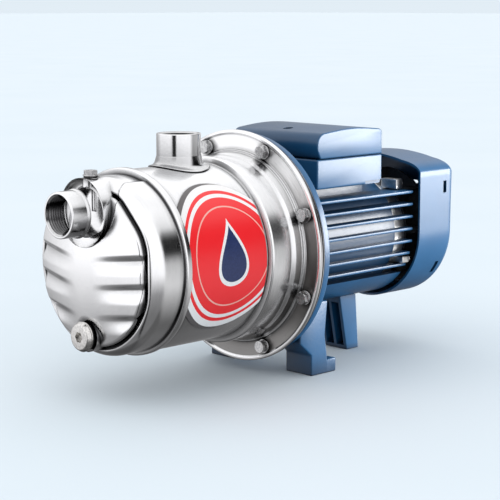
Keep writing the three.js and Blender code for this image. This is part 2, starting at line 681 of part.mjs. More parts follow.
// A folded channel that is open to the front, with a centre rib
function makeRearFoot() {
  const side = [[114, -50], [137, -50], [142, -AXIS_HEIGHT], [126, -AXIS_HEIGHT]];
  const leg = alongY(side, [-REAR_FOOT_Y, REAR_FOOT_Y]);
  const hollowTop = -BAND_R - 5;
  const hollowBottom = -AXIS_HEIGHT + 4;
  const hollowSide = [
    [100, hollowTop], [134 - REAR_FOOT_WALL, hollowTop],
    [141.5 - REAR_FOOT_WALL, hollowBottom], [100, hollowBottom],
  ];
  const ribHalf = REAR_FOOT_WALL / 2;
  const inner = REAR_FOOT_Y - REAR_FOOT_WALL;
  const hollows = [[-inner, -ribHalf], [ribHalf, inner]].map((span) => alongY(hollowSide, span));
  const saddle = turned(rod(100, 160, BAND_R + GAP));
  place('rear_foot', cut(leg, saddle, ...hollows), bluePaint());
}

function makeTerminalBox() {
  const [front, rear] = BOX_X;
  const [bottom, top] = BOX_Z;
  const floorTop = PAD_TOP_Z + GAP + BOX_WALL;
  const outside = block(BOX_X, [-BOX_Y, BOX_Y], BOX_Z);
  const inside = block([front + BOX_WALL, rear - BOX_WALL], [BOX_WALL - BOX_Y, BOX_Y - BOX_WALL],
    [floorTop, top + 1]);
  const under = block([front - 1, rear + 1], [-BOX_Y + 5, BOX_Y - 5], [bottom - 1, PAD_TOP_Z + GAP]);
  const inlet = turned(rod(BOX_Y - 10, BOX_Y + 10, 7), ALONG_Y, [GLAND_X, 0, GLAND_Z], FEW);
  place('terminal_box', cut(outside, inside, under, inlet), bluePaint());

  const lidBottom = top + GAP;
  const lidSide = [
    [front + 4, lidBottom], [rear, lidBottom], [rear, LID_TOP_Z - 2], [rear - 3, LID_TOP_Z],
    [(front + rear) / 2, LID_TOP_Z + LID_CROWN], [front + 10, LID_TOP_Z],
    [front + 2.5, LID_TOP_Z - 3.5], [front, LID_TOP_Z - 10], [front, lidBottom + 8],
  ];
  const lid = alongY(lidSide, [-BOX_Y, BOX_Y]);
  const room = block([front + 9, rear - BOX_WALL], [BOX_WALL - BOX_Y, BOX_Y - BOX_WALL],
    [lidBottom - 1, LID_TOP_Z - BOX_WALL]);
  const screwXs = [front + 18, rear - 12];
  const bosses = screwXs.map((x) => turned(rod(lidBottom, LID_TOP_Z - 1, 7), ALONG_Z, [x, 0, 0], FEW));
  const holes = screwXs.map((x) => turned(rod(lidBottom - 1, LID_TOP_Z + 6, 2 + GAP), ALONG_Z, [x, 0, 0], 12));
  const sinks = screwXs.map((x) => turned(rod(LID_TOP_Z - 3.5, LID_TOP_Z + 6, 4.6), ALONG_Z, [x, 0, 0], FEW));
  place('terminal_box_lid', cut(lid, cut(room, ...bosses), ...holes, ...sinks), bluePaint());
  screwXs.forEach((x, i) => {
    const shank = turned(rod(lidBottom + 1, LID_TOP_Z - 3, 2), ALONG_Z, [x, 0, 0], 12);
    const head = turned(rod(LID_TOP_Z - 3.2, LID_TOP_Z - 0.6, 4), ALONG_Z, [x, 0, 0], 16);
    place(`lid_screw_${i + 1}`, join(shank, head), zincSteel());
  });

  const blockBase = block([64, 104], [-38, -14], [floorTop + GAP, floorTop + 8]);
  const studs = [70, 84, 98].flatMap((x) => [-33, -19].map((y) =>
    turned(rod(floorTop + 7, floorTop + 14, 2), ALONG_Z, [x, y, 0], 8)));
  place('terminal_block', join(blockBase, ...studs), palePlastic());
  place('capacitor', turned(rod(60, 112, 14), ALONG_X, [0, 27, floorTop + 14.5], FEW), palePlastic());
}

// The cable gland in the terminal box's far side, and its clamping nut
function makeCableGland() {
  const centre = [GLAND_X, 0, GLAND_Z];
  const wall = BOX_Y + GAP;
  const gland = turned([
    [BOX_Y - 8, GLAND_BORE_R], [BOX_Y - 8, 6.7], [wall, 6.7], [wall, 9.5], [wall + 5, 9.5],
    [wall + 5, 8], [wall + 8, 8], [wall + 8, GLAND_BORE_R],
  ], ALONG_Y, centre, FEW);
  place('cable_gland', gland, darkPlastic());
  const nut = cut(
    turned(rod(wall + 8 + GAP, wall + 17, 9.8), ALONG_Y, centre, 8),
    turned(rod(wall, wall + 20, GLAND_BORE_R), ALONG_Y, centre, FEW));
  place('cable_gland_nut', nut, darkPlastic());
}

makeFrontCasing();
makeBarrel();
makePorts();
makePlugs();
makeLabel();
makeEjector();
makeDiffuser();
makeImpeller();
makeMechanicalSeal();
makeFlangeJoint();
makeBracket();
makeHousing();
makeRearShield();
makeFanCover();
makeFan();
makeRotor();
makeStator();
makeBearings();
makeRearFoot();
makeTerminalBox();
makeCableGland();

pump.position.set(-(SUCTION_MOUTH_X + COVER_X[1]) / 2, 0, AXIS_HEIGHT);

export default pump;
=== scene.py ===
"""Shallow well jet pump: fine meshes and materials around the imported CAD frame.

Shapes are drawn in millimetres, with X = 0 on the rear face of the steel flange and
Y = Z = 0 on the shaft axis. install() turns a finished mesh into metres in the frame.
"""
import json
import math

import bmesh
import bpy
from mathutils import Matrix, Vector

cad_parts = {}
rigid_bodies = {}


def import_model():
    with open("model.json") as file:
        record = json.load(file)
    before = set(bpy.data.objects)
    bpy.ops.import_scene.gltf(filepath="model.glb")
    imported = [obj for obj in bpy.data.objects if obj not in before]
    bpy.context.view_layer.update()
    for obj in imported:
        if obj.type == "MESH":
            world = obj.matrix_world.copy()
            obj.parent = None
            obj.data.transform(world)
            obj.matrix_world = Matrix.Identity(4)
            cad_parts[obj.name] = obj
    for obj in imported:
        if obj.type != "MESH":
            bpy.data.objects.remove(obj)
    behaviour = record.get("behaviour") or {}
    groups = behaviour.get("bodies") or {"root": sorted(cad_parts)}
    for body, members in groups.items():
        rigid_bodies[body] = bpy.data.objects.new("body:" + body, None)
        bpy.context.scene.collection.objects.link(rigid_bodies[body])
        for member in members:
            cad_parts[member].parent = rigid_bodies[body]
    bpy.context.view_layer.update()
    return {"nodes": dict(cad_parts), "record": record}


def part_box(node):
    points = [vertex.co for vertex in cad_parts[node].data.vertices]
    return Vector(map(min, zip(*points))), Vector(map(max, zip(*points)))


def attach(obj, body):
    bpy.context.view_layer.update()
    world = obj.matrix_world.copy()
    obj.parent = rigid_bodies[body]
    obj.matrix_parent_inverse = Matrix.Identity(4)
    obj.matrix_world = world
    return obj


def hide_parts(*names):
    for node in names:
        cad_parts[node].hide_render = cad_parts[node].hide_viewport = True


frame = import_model()

MM = 0.001
SHAFT_JOINT = frame["record"]["behaviour"]["joints"][0]
ORIGIN = Vector((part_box("pump_barrel")[1].x, 0.0, SHAFT_JOINT["pos_m"][2]))


def span(node, axis):
    """Lowest and highest place of a CAD node along X, Y or Z, in the drawing's millimetres."""
    low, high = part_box(node)
    index = "XYZ".index(axis)
    return tuple((corner[index] - ORIGIN[index]) / MM for corner in (low, high))


# Driving sizes, read from the frame or stated as in the CAD part

FLANGE_T = 3.0
FLANGE_R = span("pump_barrel", "Z")[1]
BARREL_R = 74.5
SEAM_X = span("pump_barrel", "X")[0]
SKIRT_X = -37.0
SKIRT_R = 79.4
BOLT_CIRCLE_R = 90.0
BOLT_COUNT = 8
BOLT_HOLE_R = 3.3

LIP_R = 76.5
CASING_R = 73.5
CASING_WALL = 2.5
CASING_CORNER = 16.0
CORNER_X = -147.0  # where the casing's side turns into its rounded front edge
CORNER_TURN = math.radians(75)  # what the corner turns before the dome takes over
DOME_X = -170.5  # middle of its front, which is a shallow dome
DOME_R = 238.0
BOSS_REAR_X = -150.0
SUCTION_Z = 44.0
SUCTION_BOSS_R = 27.5
SUCTION_BOSS_X = span("front_casing", "X")[0]
SUCTION_MOUTH_X = span("suction_port", "X")[0]
DISCHARGE_X = sum(span("discharge_port", "X")) / 2
DISCHARGE_TOP_Z = span("discharge_port", "Z")[1]
PORT_R = 18.5
PORT_BORE_R = 15.15

PRIMING_X = sum(span("priming_plug", "X")) / 2
PRIMING_SEAT_Z = 71.2
DRAIN_Z = sum(span("drain_plug", "Z")) / 2
DRAIN_SEAT_X = -169.0

LABEL_R = 58.0
LABEL_TILT = math.radians(6)
LABEL_X = sum(span("side_label", "X")) / 2
PRINT_SHIFT = 4.0  # the print sits a little behind the film's middle

BRACKET_X = span("motor_bracket", "X")[0]
BRACKET_R = 97.0
HOUSING_X = (38.0, 147.0)
FIN_END_X = span("motor_housing", "X")[1]
FLOOR_Z = span("motor_bracket", "Z")[0]
BOX_X = span("terminal_box", "X")
BOX_Y = span("terminal_box", "Y")[1]
BOX_Z = span("terminal_box", "Z")
LID_TOP_Z = 97.0
COVER_X = span("fan_cover", "X")
COVER_R = span("fan_cover", "Y")[1]
SHIELD_X = (147.3, 161.0)

FINEST = 192  # facets round the flange and its rings
FINE = 160  # round the motor's castings
ROUND = 128  # round other large casings
PORT_SIDES = 96
MEDIUM = 64
SCREW_SIDES = 48
SMALL = 32


# Mesh tools

def arc_corner(before, corner, after, radius, steps):
    """Points that round one corner of an outline."""
    back = (Vector(before) - Vector(corner)).normalized()
    ahead = (Vector(after) - Vector(corner)).normalized()
    opening = back.angle(ahead)
    reach = radius / math.tan(opening / 2)
    middle = Vector(corner) + (back + ahead).normalized() * radius / math.sin(opening / 2)
    start = Vector(corner) + back * reach - middle
    turn = math.pi - opening
    sign = 1 if start.x * ahead.y - start.y * ahead.x > 0 else -1
    points = []
    for step in range(steps + 1):
        angle = sign * turn * step / steps
        cosine, sine = math.cos(angle), math.sin(angle)
        points.append((middle.x + start.x * cosine - start.y * sine,
                       middle.y + start.x * sine + start.y * cosine))
    return points


def rounded(outline, closed=True, steps=5):
    """Rounds the corners of an outline given as (u, v) or (u, v, radius) points."""
    points = []
    count = len(outline)
    for index, corner in enumerate(outline):
        at_end = not closed and index in (0, count - 1)
        if len(corner) < 3 or at_end:
            points.append(tuple(corner[:2]))
            continue
        before = outline[index - 1][:2]
        after = outline[(index + 1) % count][:2]
        points += arc_corner(before, corner[:2], after, corner[2], steps)
    return points


def make_object(name, points, faces):
    mesh = bpy.data.meshes.new(name)
    mesh.from_pydata([tuple(point) for point in points], [], faces)
    mesh.validate()
    shape = bmesh.new()
    shape.from_mesh(mesh)
    bmesh.ops.remove_doubles(shape, verts=shape.verts, dist=1e-4)
    bmesh.ops.recalc_face_normals(shape, faces=shape.faces)
    shape.to_mesh(mesh)
    shape.free()
    piece = bpy.data.objects.new(name, mesh)
    bpy.context.scene.collection.objects.link(piece)
    return piece


def skin(name, rings, ring_loop=False):
    """Skins rings of equally many points. Ends are closed, or the last ring joins the first."""
    count = len(rings[0])
    points = [point for ring in rings for point in ring]
    faces = []
    total = len(rings)
    for index in range(total if ring_loop else total - 1):
        start, following = index * count, (index + 1) % total * count
        for k in range(count):
            after = (k + 1) % count
            faces.append((start + k, start + after, following + after, following + k))
    if not ring_loop:
        faces.append(tuple(range(count)))
        faces.append(tuple(range((total - 1) * count, total * count)))
    return make_object(name, points, faces)


def axis_point(axis, position, u, v):
    """A point at a position along an axis, and at u and v across it."""
    return {"X": (position, u, v), "Y": (u, position, v), "Z": (u, v, position)}[axis]


def circle(axis, centre, position, radius, sides):
    """Points round an axis through the centre."""
    points = []
    for k in range(sides):
        angle = 2 * math.pi * k / sides
        local = axis_point(axis, position, radius * math.cos(angle), radius * math.sin(angle))
        points.append(tuple(a + b for a, b in zip(local, centre)))
    return points


def lathe(name, profile, axis="X", centre=(0, 0, 0), sides=ROUND, steps=5):
    """Turns an outline of (position, radius) or (position, radius, rounding) points round an axis."""
    on_axis = profile[0][1] == 0
    outline = rounded(profile, closed=not on_axis, steps=steps)
    rings = [circle(axis, centre, position, max(radius, 1e-6), sides) for position, radius in outline]
    return skin(name, rings, ring_loop=not on_axis)


def rod(name, start, end, radius, axis="X", centre=(0, 0, 0), sides=MEDIUM, edge=0.0, steps=5):
    """A round bar. An edge rounds the rim of its end."""
    rim = (end, radius, edge) if edge else (end, radius)
    return lathe(name, [(start, 0), (start, radius), rim, (end, 0)], axis, centre, sides, steps)


def prism(name, outline, axis, start, end):
    """Extrudes an outline: drawn in YZ along X, in XZ along Y, or in XY along Z."""
    return skin(name, [[axis_point(axis, position, u, v) for u, v in outline] for position in (start, end)])


def slab(name, xs, ys, zs):
    outline = [(xs[0], ys[0]), (xs[1], ys[0]), (xs[1], ys[1]), (xs[0], ys[1])]
    return prism(name, outline, "Z", *zs)


def baked(piece):
    """Applies a piece's modifiers to its mesh."""
    graph = bpy.context.evaluated_depsgraph_get()
    mesh = bpy.data.meshes.new_from_object(piece.evaluated_get(graph))
    old = piece.data
    piece.modifiers.clear()
    piece.data = mesh
    bpy.data.meshes.remove(old)
    return piece


def bevelled(piece, width, segments=3, angle=30):
    bevel = piece.modifiers.new("bevel", "BEVEL")
    bevel.width = width
    bevel.segments = segments
    bevel.limit_method = "ANGLE"
    bevel.angle_limit = math.radians(angle)
    return baked(piece)


def combine(piece, operation, others):
    for other in others:
        boolean = piece.modifiers.new("boolean", "BOOLEAN")
        boolean.operation = operation
        boolean.solver = "EXACT"
        boolean.object = other
        baked(piece)
        bpy.data.objects.remove(other)
    return piece


def join(piece, *others):
    return combine(piece, "UNION", others)


def cut(piece, *others):
    return combine(piece, "DIFFERENCE", others)


def gathered(piece, *others):
    """Puts separate solids that don't touch into one mesh."""
    shape = bmesh.new()
    for part in (piece, *others):
        shape.from_mesh(part.data)
    shape.to_mesh(piece.data)
    shape.free()
    for other in others:
        bpy.data.objects.remove(other)
    return piece


def install(piece, slot, *nodes, body="root", look=None, crease=30):
    """Moves a mesh into the frame, in metres, parents it to its body, gives it its slot's material or a
    look, and hides the CAD nodes it replaces.
    """
    piece.data.transform(Matrix.Translation(ORIGIN) @ Matrix.Scale(MM, 4))
    for face in piece.data.polygons:
        face.use_smooth = True
    piece.data.set_sharp_from_angle(angle=math.radians(crease))
    piece.data.materials.clear()
    piece.data.materials.append(LOOKS[look or slot])
    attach(piece, body)
    if nodes:
        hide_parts(*nodes)


# Material tools

class Nodes:
    """A few shorthands for building one node tree."""

    def __init__(self, tree):
        self.tree = tree

    def link(self, source, target):
        self.tree.links.new(source, target)

    def add(self, kind, inputs=None, **settings):
        """Adds a node. Each of its inputs is linked to another node's output, or set to a plain value."""
        node = self.tree.nodes.new(kind)
        for key, value in settings.items():
            setattr(node, key, value)
        for key, value in (inputs or {}).items():
            if isinstance(value, bpy.types.NodeSocket):
                self.link(value, node.inputs[key])
            else:
                node.inputs[key].default_value = value
        return node

    def math(self, operation, *values):
        return self.add("ShaderNodeMath", dict(enumerate(values)), operation=operation).outputs[0]

    def weighted(self, first, first_share, second, second_share):
        """The sum of two values, each times its share."""
        return self.math("ADD", self.math("MULTIPLY", first, first_share),
                         self.math("MULTIPLY", second, second_share))

    def length(self, first, second):
        """Length of a flat vector with these two coordinates."""
        squares = [self.math("MULTIPLY", value, value) for value in (first, second)]
        return self.math("SQRT", self.math("ADD", *squares))

    def mix(self, factor, first, second, blend_type="MIX"):
        inputs = {"Factor": factor, "A": first, "B": second}
        return self.add("ShaderNodeMix", inputs, data_type="RGBA", blend_type=blend_type).outputs["Result"]

    def ramp(self, source, stops, interpolation="LINEAR"):
        node = self.add("ShaderNodeValToRGB", {"Fac": source})
        node.color_ramp.interpolation = interpolation
        elements = node.color_ramp.elements
        while len(elements) < len(stops):
            elements.new(0.5)
        for element, (position, color) in zip(elements, stops):
            element.position = position
            element.color = (*color, 1)
        return node.outputs["Color"]

    def spread(self, source, low, high):
        """Maps 0..1 to low..high."""
        inputs = {"Value": source, "To Min": low, "To Max": high}
        return self.add("ShaderNodeMapRange", inputs).outputs["Result"]

    def noise(self, vector, scale, detail=3.0, roughness=0.5):
        inputs = {"Vector": vector, "Scale": scale, "Detail": detail, "Roughness": roughness}
        return self.add("ShaderNodeTexNoise", inputs).outputs["Fac"]

    def object_point(self):
        return self.add("ShaderNodeTexCoord").outputs["Object"]

    def split(self, vector):
        """The three coordinates of a vector."""
        return self.add("ShaderNodeSeparateXYZ", {0: vector}).outputs

    def round_axis(self, around):
        """A point as (along the shaft, radius, turn), for marks that run round the shaft."""
        x, y, height = self.split(self.object_point())
        z = self.math("SUBTRACT", height, ORIGIN.z)
        turn = self.math("MULTIPLY", self.math("SINE", self.math("ARCTAN2", z, y)), around)
        return self.add("ShaderNodeCombineXYZ", {0: x, 1: self.length(y, z), 2: turn}).outputs[0]

    def painted_crease_shade(self, color, reach, dark, power):
        """Painted shade: darkens a colour inside corners and creases, where ambient occlusion finds them.
        """
        shade = self.add("ShaderNodeAmbientOcclusion", {"Distance": reach}, samples=8)
        return self.mix(self.math("POWER", shade.outputs["AO"], power), (*dark, 1), color)

    def bump(self, height, strength, distance):
        inputs = {"Height": height, "Strength": strength, "Distance": distance}
        return self.add("ShaderNodeBump", inputs).outputs["Normal"]


class Look(Nodes):
    """The node tree of one new material."""

    def __init__(self, name, metallic=0.0, **sockets):
        self.material = bpy.data.materials.new(name)
        self.material.use_nodes = True
        super().__init__(self.material.node_tree)
        self.inputs = self.tree.nodes["Principled BSDF"].inputs
        self.inputs["Metallic"].default_value = metallic
        for key, value in sockets.items():
            self.inputs[key.replace("_", " ")].default_value = value

    def dress(self, color, pattern, rough, relief, tone=None):
        """Links the colour, and the pattern for roughness (low, high) and bump (strength, distance)."""
        self.link(color, self.inputs["Base Color"])
        self.link(self.spread(pattern if tone is None else tone, *rough), self.inputs["Roughness"])
        self.link(self.bump(pattern, *relief), self.inputs["Normal"])
        return self.material


def make_stainless(name, rough, brush, reach=0.006, painted_height_light=None):
    """Bright stainless steel with fine marks round the shaft axis, and painted shade in its corners and
    creases. A sweep paints light by height: the colour goes lighter towards the top, a painted highlight.
    """
    look = Look(name, 1.0)
    marks = look.noise(look.round_axis(0.004), 2600, 4.0, 0.6)
    cloud = look.noise(look.object_point(), 28)
    tone = look.weighted(marks, 0.6, cloud, 0.4)
    color = look.ramp(tone, [(0.3, (0.70, 0.705, 0.715)), (0.7, (0.86, 0.86, 0.865))])
    if painted_height_light:
        # painted highlight: the colour gets lighter towards the top
        height = look.split(look.object_point())[2]
        color = look.ramp(look.weighted(height, 1 / (2 * ORIGIN.z), marks, 0.25), painted_height_light)
    # painted shade: corners and creases darkened by ambient occlusion
    crease_shaded = look.painted_crease_shade(color, reach, (0.012, 0.012, 0.013), 3.0)
    return look.dress(crease_shaded, marks, (rough * 0.7, rough * 1.3), (brush, 0.0002), tone)


def make_blue(name, grain, reach):
    """Blue paint with a fine orange peel; castings show more grain. Corners and creases get painted shade,
    reaching further on castings.
    """
    look = Look(name, Specular_IOR_Level=0.45, Coat_Weight=0.05, Coat_Roughness=0.2)
    point = look.object_point()
    cloud = look.noise(point, 22, 4.0)
    fine = look.noise(point, 420 if grain > 0.2 else 900)
    color = look.ramp(cloud, [(0.3, (0.004, 0.044, 0.108)), (0.72, (0.006, 0.055, 0.132))])
    # painted shade: corners and creases darkened by ambient occlusion
    crease_shaded = look.painted_crease_shade(color, reach, (0.001, 0.008, 0.022), 1.6)
    return look.dress(crease_shaded, fine, (0.30, 0.44), (grain, 0.0003))


def make_zinc(name, dark, light, rough):
    look = Look(name, 1.0)
    spots = look.noise(look.object_point(), 520, 4.0)
    color = look.ramp(spots, [(0.35, dark), (0.65, light)])
    return look.dress(color, spots, (rough * 0.7, rough * 1.4), (0.08, 0.0002))


def make_machined(name, color, rough):
    """Bare metal with turned grooves round the shaft axis."""
    look = Look(name, 1.0)
    grooves = look.noise(look.round_axis(0.002), 1500, 2.0)
    dark = tuple(channel * 0.82 for channel in color)
    toned = look.ramp(grooves, [(0.3, dark), (0.7, color)])
    return look.dress(toned, grooves, (rough * 0.8, rough * 1.3), (0.15, 0.0003))


def make_moulded(name, dark, light, rough):
    """Moulded plastic, rubber or ink with a fine eroded grain."""
    look = Look(name)
    grain = look.noise(look.object_point(), 700)
    color = look.ramp(grain, [(0.35, dark), (0.65, light)])
    return look.dress(color, grain, (rough - 0.08, rough + 0.08), (0.12, 0.0002))


def make_wound(name):
    """Varnished copper wire, wound round the shaft axis."""
    look = Look(name, 0.85)
    wires = look.noise(look.round_axis(0.01), 900, 2.0)
    color = look.ramp(wires, [(0.35, (0.22, 0.07, 0.02)), (0.65, (0.62, 0.27, 0.10))])
    return look.dress(color, wires, (0.25, 0.5), (0.5, 0.0005))


def make_label_film():
    """Printed film: rings of red and white round the label's middle."""
    look = Look("label_film", Coat_Weight=0.2, Coat_Roughness=0.15)
    x, y, z = look.split(look.object_point())
    along = look.math("SUBTRACT", x, ORIGIN.x + (LABEL_X + PRINT_SHIFT) * MM)
    height = look.math("SUBTRACT", z, ORIGIN.z)
    upward = look.weighted(height, math.cos(LABEL_TILT), y, math.sin(LABEL_TILT))
    share = look.math("DIVIDE", look.length(along, upward), LABEL_R * MM)
    red, pink = (0.88, 0.012, 0.018), (0.86, 0.42, 0.36)
    white, grey = (0.86, 0.85, 0.84), (0.10, 0.09, 0.09)
    rings = [(0.0, red), (0.670, pink), (0.688, red), (0.805, white), (0.858, red), (0.905, white),
             (0.986, grey)]
    grain = look.noise(look.object_point(), 600, 2.0)
    return look.dress(look.ramp(share, rings, "CONSTANT"), grain, (0.28, 0.40), (0.04, 0.0001))


LOOKS = {
    "stainless": make_stainless("stainless_brushed", 0.20, 0.10),
    "pressed": make_stainless("stainless_pressed", 0.16, 0.05),
    "turned": make_stainless("stainless_turned", 0.11, 0.10, 0.035),
    # the flange face: painted light by height, dark below and a painted highlight towards its top
    "flange": make_stainless("stainless_flange_painted_highlight", 0.30, 0.30, 0.006, [
        (0.20, (0.24, 0.235, 0.23)), (0.60, (0.20, 0.19, 0.18)), (0.75, (0.30, 0.29, 0.285)),
        (0.95, (0.85, 0.85, 0.85)), (1.0, (0.92, 0.92, 0.92))]),
    "blue_paint": make_blue("blue_paint", 0.08, 0.006),
    "blue_casting": make_blue("blue_casting", 0.30, 0.020),
    "zinc_steel": make_zinc("zinc_plate", (0.38, 0.38, 0.39), (0.58, 0.58, 0.58), 0.26),
    "plug_steel": make_zinc("nickel_plate", (0.50, 0.49, 0.48), (0.66, 0.65, 0.63), 0.20),
    "brass": make_zinc("cast_brass", (0.52, 0.36, 0.12), (0.78, 0.60, 0.26), 0.38),
    "bare_aluminium": make_machined("bare_aluminium", (0.86, 0.86, 0.85), 0.30),
    "electrical_steel": make_machined("varnished_laminations", (0.30, 0.28, 0.27), 0.45),
    "black_rubber": make_moulded("black_rubber", (0.008, 0.008, 0.008), (0.022, 0.022, 0.022), 0.72),
    "dark_plastic": make_moulded("dark_plastic", (0.012, 0.013, 0.015), (0.030, 0.032, 0.036), 0.45),
    "pale_plastic": make_moulded("pale_plastic", (0.62, 0.58, 0.48), (0.74, 0.70, 0.60), 0.50),
    "ceramic": make_moulded("ceramic", (0.78, 0.75, 0.68), (0.86, 0.84, 0.78), 0.25),
    "copper_winding": make_wound("copper_winding"),
    "red_film": make_label_film(),
    "white_ink": make_moulded("white_ink", (0.80, 0.80, 0.79), (0.88, 0.88, 0.87), 0.35),
    "navy_ink": make_moulded("navy_ink", (0.010, 0.022, 0.090), (0.016, 0.032, 0.120), 0.35),
}


# Front casing

PANEL_R = 66.0  # the pressed panel's outline: round below, with shoulders and a flat top
PANEL_SIDE_Y = 64.5
PANEL_TOP_Z = 60.8
PANEL_SHOULDER_R = 64.8  # distance from the shaft axis to its slanting shoulder
OUTLINE_SHARPNESS = 60  # a higher number gives the panel's outline tighter corners
PANEL_RAISE = 1.4
CREASE_DEPTH = 3.6
CREASE_HALF_WIDTH = 1.7
FLUTES = (10.0, -12.5, -37.0)  # height of each flute's upper edge near the middle
FLUTE_SLOPE = 0.11
FLUTE_START_Y = 8.0
FLUTE_END_Y = 58.0
FLUTE_DEPTH = 3.4
FLUTE_WIDTH = 17.0
POCKET_Z = 49.5  # a shallow pocket, wider at the top, follows the suction boss
POCKET_R = 33.0
POCKET_DEPTH = 2.2
POCKET_EDGE = 0.9

CASING_REAR_X = SEAM_X - 0.3
FINE_COLUMNS = 480  # columns of the detailed skin
NEAR_ROWS = 36  # rows close together round the crease
NEAR_STEP = 0.4
NEAR_START = 8.0  # how far inside the crease they start
DOME_ROWS = 60
SIDE_ROWS = 20
COARSE_SKIP = 6

LIP_FRONT_X = SEAM_X - 5.7
SUCTION_BOSS_EDGE = 6.0
DRAIN_BOSS_R = 13.0
DRAIN_HOLE_R = 6.8
PRIMING_BOSS_R = 6.6
PRIMING_HOLE_R = 4.3


def smooth(value, low, high):
    share = min(max((value - low) / (high - low), 0.0), 1.0)
    return share * share * (3 - 2 * share)


def panel_reach(angle):
    """Distance from the shaft axis to the panel's outline."""
    across, up = abs(math.cos(angle)), math.sin(angle)
    limits = [PANEL_R, PANEL_SIDE_Y / max(across, 1e-6)]
    if up > 0:
        limits.append(PANEL_SHOULDER_R / ((across + up) * math.sqrt(0.5)))
        limits.append(PANEL_TOP_Z / up)
    return sum(limit ** -OUTLINE_SHARPNESS for limit in limits) ** (-1 / OUTLINE_SHARPNESS)


def flute_depth(y, z):
    """Depth of the flutes: a steep upper edge, and a floor that rises gently below it."""
    along = smooth(abs(y), FLUTE_START_Y, FLUTE_END_Y)
    depth = 0.0
    for top in FLUTES:
        drop = (top + FLUTE_SLOPE * abs(y) - z) / FLUTE_WIDTH
        if 0 < drop < 1:
            depth = smooth(drop, 0.0, 0.32) * (1 - smooth(drop, 0.30, 1.0))
    return FLUTE_DEPTH * along * depth


def pocket_depth(y, z):
    inside = POCKET_R - math.hypot(y, z - POCKET_Z)
    if inside <= 0:
        return 0.0
    return POCKET_DEPTH * (1 - math.exp(-inside / POCKET_EDGE))


def casing_point(run, offset):
    """X, radius and lean of the normal, at a run outward from the casing's middle: dome, corner, side."""
    corner = CASING_CORNER + offset
    middle = CASING_R - CASING_CORNER
    dome_end = middle + corner * math.cos(CORNER_TURN)
    if run < dome_end:
        lean = run / DOME_R
        return DOME_X - offset + run * run / (2 * DOME_R), run, lean
    turned = (run - dome_end) / corner
    if turned < CORNER_TURN:
        angle = CORNER_TURN - turned
        return CORNER_X - corner * math.sin(angle), middle + corner * math.cos(angle), math.pi / 2 - angle
    return CORNER_X + (turned - CORNER_TURN) * corner, CASING_R + offset, math.pi / 2


def run_of(radius):
    """The run at which the outer face has the given radius."""
    low, high = 0.0, 90.0
    for _ in range(40):
        middle = (low + high) / 2
        if casing_point(middle, 0.0)[1] < radius:
            low = middle
        else:
            high = middle
    return low


def casing_runs(edge):
    """Runs from the casing's middle to its rear edge, close together round the crease."""
    whole = CASING_R + CASING_REAR_X - CORNER_X + CASING_CORNER * (math.cos(CORNER_TURN) + CORNER_TURN - 1)
    near = [edge - NEAR_START + NEAR_STEP * step for step in range(NEAR_ROWS)]
    runs = [near[0] * (row + 0.5) / DOME_ROWS for row in range(DOME_ROWS)] + near
    return runs + [near[-1] + (whole - near[-1]) * (row + 1) / SIDE_ROWS for row in range(SIDE_ROWS)]


def casing_relief(inside, y, z):
    """How deep the casing is pressed in, at a distance inside the panel's outline."""
    depth = CREASE_DEPTH * math.exp(-(inside / CREASE_HALF_WIDTH) ** 2)
    depth -= PANEL_RAISE * smooth(inside, -1.0, 5.0)
    depth += flute_depth(y, z) * smooth(inside, -2.5, 1.0)
    return depth + pocket_depth(y, z)


def casing_form(name, offset, detail):
    """The pressed front as one skin. Detail adds the panel, its crease, the flutes and the pocket."""
    sides = FINE_COLUMNS if detail else ROUND
    columns = []
    for k in range(sides):
        angle = 2 * math.pi * (k + 0.5) / sides
        across, up = math.cos(angle), math.sin(angle)
        edge = run_of(panel_reach(angle))
        runs = casing_runs(edge)
        if not detail:
            runs = runs[::COARSE_SKIP] + [runs[-1]]
        column = [(CASING_REAR_X, 1e-4 * across, 1e-4 * up)]
        for run in reversed(runs):
            x, radius, lean = casing_point(run, offset)
            if detail:
                depth = casing_relief(edge - run, radius * across, radius * up)
                x += depth * math.cos(lean)
                radius -= depth * math.sin(lean)
            column.append((x, radius * across, radius * up))
        columns.append(column)
    return skin(name, list(zip(*columns)))


